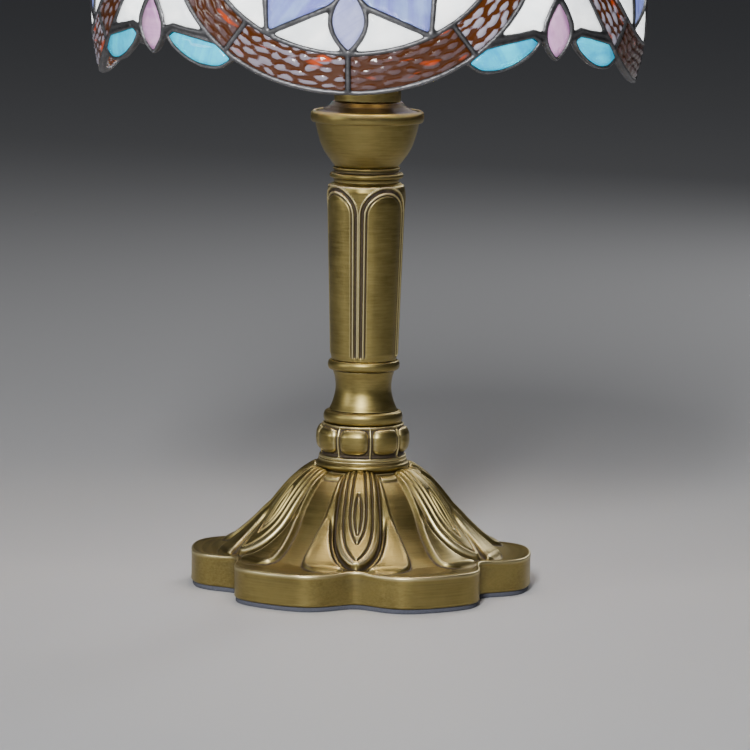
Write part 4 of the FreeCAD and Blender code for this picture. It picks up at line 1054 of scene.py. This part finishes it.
def make_solder(outlines, widths):
    """The soldered seams: a bead along every pane's edge, melted into one lattice."""
    verts, faces = [], []
    for quarter in range(4):
        for outline, wide in zip(outlines, widths):
            solder_run(outline, wide, quarter, verts, faces)
    fill_solder(outlines, verts, faces)
    node = "solder_lattice"
    piece = new_piece(node, np.concatenate(verts) * MM, faces, "shade", node, "solder")
    melt = piece.modifiers.new("melt", "REMESH")
    melt.mode, melt.voxel_size, melt.use_smooth_shade = "VOXEL", 0.5 * MM, True
    ease = piece.modifiers.new("ease", "SMOOTH")
    ease.factor, ease.iterations = 0.5, 2
    graph = bpy.context.evaluated_depsgraph_get()
    final = bpy.data.meshes.new_from_object(piece.evaluated_get(graph))
    piece.modifiers.clear()
    piece.data = final
    final.shade_smooth()


def make_shade():
    # its pale colour is partly streaks and partly painted reflection on the ripple crests; its spots colour
    # is painted glints of the bulb's light
    art_glass("ripple_amber", (0.085, 0.024, 0.005), (0.45, 0.43, 0.53), spots=(0.62, 0.075, 0.01),
              glow=0.1, streaks=(0.05, 0.2), rough=0.08, milky=0.92)
    art_glass("pale_lavender", (0.4, 0.43, 0.8), (0.6, 0.64, 0.94))
    art_glass("blue_lavender", (0.24, 0.27, 0.74), (0.36, 0.5, 0.9))
    art_glass("opal_white", (0.86, 0.9, 0.92), (0.98, 0.99, 0.98), glow=1.15)
    art_glass("jewel_rose", (0.55, 0.1, 0.22), (0.78, 0.26, 0.4))
    art_glass("mauve_pink", (0.56, 0.26, 0.54), (0.74, 0.44, 0.68))
    art_glass("turquoise", (0.003, 0.4, 0.64), (0.015, 0.63, 0.83), glow=0.7)
    groups = (
        ("ring_glass", "ripple_amber", ring_outlines()),
        ("star_petals", "pale_lavender", petal_outlines()),
        ("star_kites", "blue_lavender", kite_outlines()),
        ("star_corners", "opal_white", corner_outlines()),
        ("star_jewels", "jewel_rose", [[star(JEWEL, 15 * i) for i in range(24)]]),
        ("fleur_petals", "mauve_pink", [lens(SEAM_TURN, RIM_V, 32.7, 3.4, 0.45)]),
        ("fleur_leaves", "turquoise", both(leaf_outline())),
        ("fleur_fields", "opal_white", both(fleur_outline())),
        ("shoulder_drops", "blue_lavender", [lens(SEAM_TURN, 88, 122.5, 5.2, 0.6)]),
        ("shoulder_fields", "opal_white", both(shoulder_outline())),
        ("crown_glass", "ripple_amber", crown_outlines()),
    )
    seams, widths = [], []
    for node, slot, outlines in groups:
        glass_group(node, outlines, slot)
        seams += outlines
        widths += [RIM_HALF if node in THIN_RIM else SEAM_HALF] * len(outlines)
    solder()
    make_solder(seams, widths)


# ---- scene

# name, place, the point it aims at, its two sides and its power
LIGHTS = (
    ("key", (-0.2, -1.38, 0.85), (0, 0, 0.12), (0.2, 0.6), 28),
    ("left", (-1.25, -0.55, 0.45), (0, 0, 0.06), (0.4, 0.6), 4),
    ("rim", (0.6, 1.1, 0.8), (0, 0, 0.15), (0.3, 0.6), 4),
)


def make_camera():
    data = bpy.data.cameras.new("camera")
    data.lens, data.sensor_width = 208.8, 36
    camera = put("camera", data)
    away, high = 1.6, 0.2948
    pitch, yaw, roll = math.radians(7.689), math.radians(-0.1515), math.radians(0.86)
    camera.matrix_world = (Matrix.Translation((0, -away, high)) @ Matrix.Rotation(yaw, 4, "Z")
                           @ Matrix.Rotation(math.pi / 2 - pitch, 4, "X") @ Matrix.Rotation(roll, 4, "Z"))
    bpy.context.scene.camera = camera


def area_light(name, place, aim, sides, power):
    data = bpy.data.lights.new(name, "AREA")
    data.shape, data.energy = "RECTANGLE", power
    data.size, data.size_y = sides
    lamp = put(name, data)
    lamp.location = place
    lamp.rotation_euler = (Vector(aim) - Vector(place)).to_track_quat("-Z", "Y").to_euler()


def inner_light():
    """The lit bulb's light, from four soft spots beside it."""
    aside, high = 0.045, 0.262
    for i in range(4):
        data = bpy.data.lights.new("glow", "POINT")
        data.energy, data.color, data.shadow_soft_size = 0.2, (1, 0.86, 0.66), 0.012
        lamp = put("glow_%d" % i, data)
        turn = math.pi / 4 + i * math.pi / 2
        lamp.location = (aside * math.cos(turn), aside * math.sin(turn), high)
        lamp.visible_camera = False


def make_studio():
    Nodes("floor").set(Base_Color=(0.52, 0.52, 0.53), Roughness=0.6)
    mesh = bpy.data.meshes.new("floor")
    reach = 30
    mesh.from_pydata([(-reach, -reach, 0), (reach, -reach, 0), (reach, reach, 0), (-reach, reach, 0)], [],
                     [(0, 1, 2, 3)])
    mesh.materials.append(FINISH["floor"])
    put("floor", mesh)
    world = bpy.data.worlds.new("studio")
    world.use_nodes = True
    background = world.node_tree.nodes["Background"]
    background.inputs["Color"].default_value = (0.78, 0.81, 0.88, 1)
    background.inputs["Strength"].default_value = 0.055
    bpy.context.scene.world = world
    for light in LIGHTS:
        area_light(*light)


antique_brass("antique_brass")
# brass darkened to paint the shade under the lampshade, for the bowl's cover
antique_brass("shade_darkened_brass", (0.12, 0.1, 0.085))
felt()
make_foot()
make_column()
make_cap()
make_fittings()
make_shade()
make_camera()
make_studio()
inner_light()
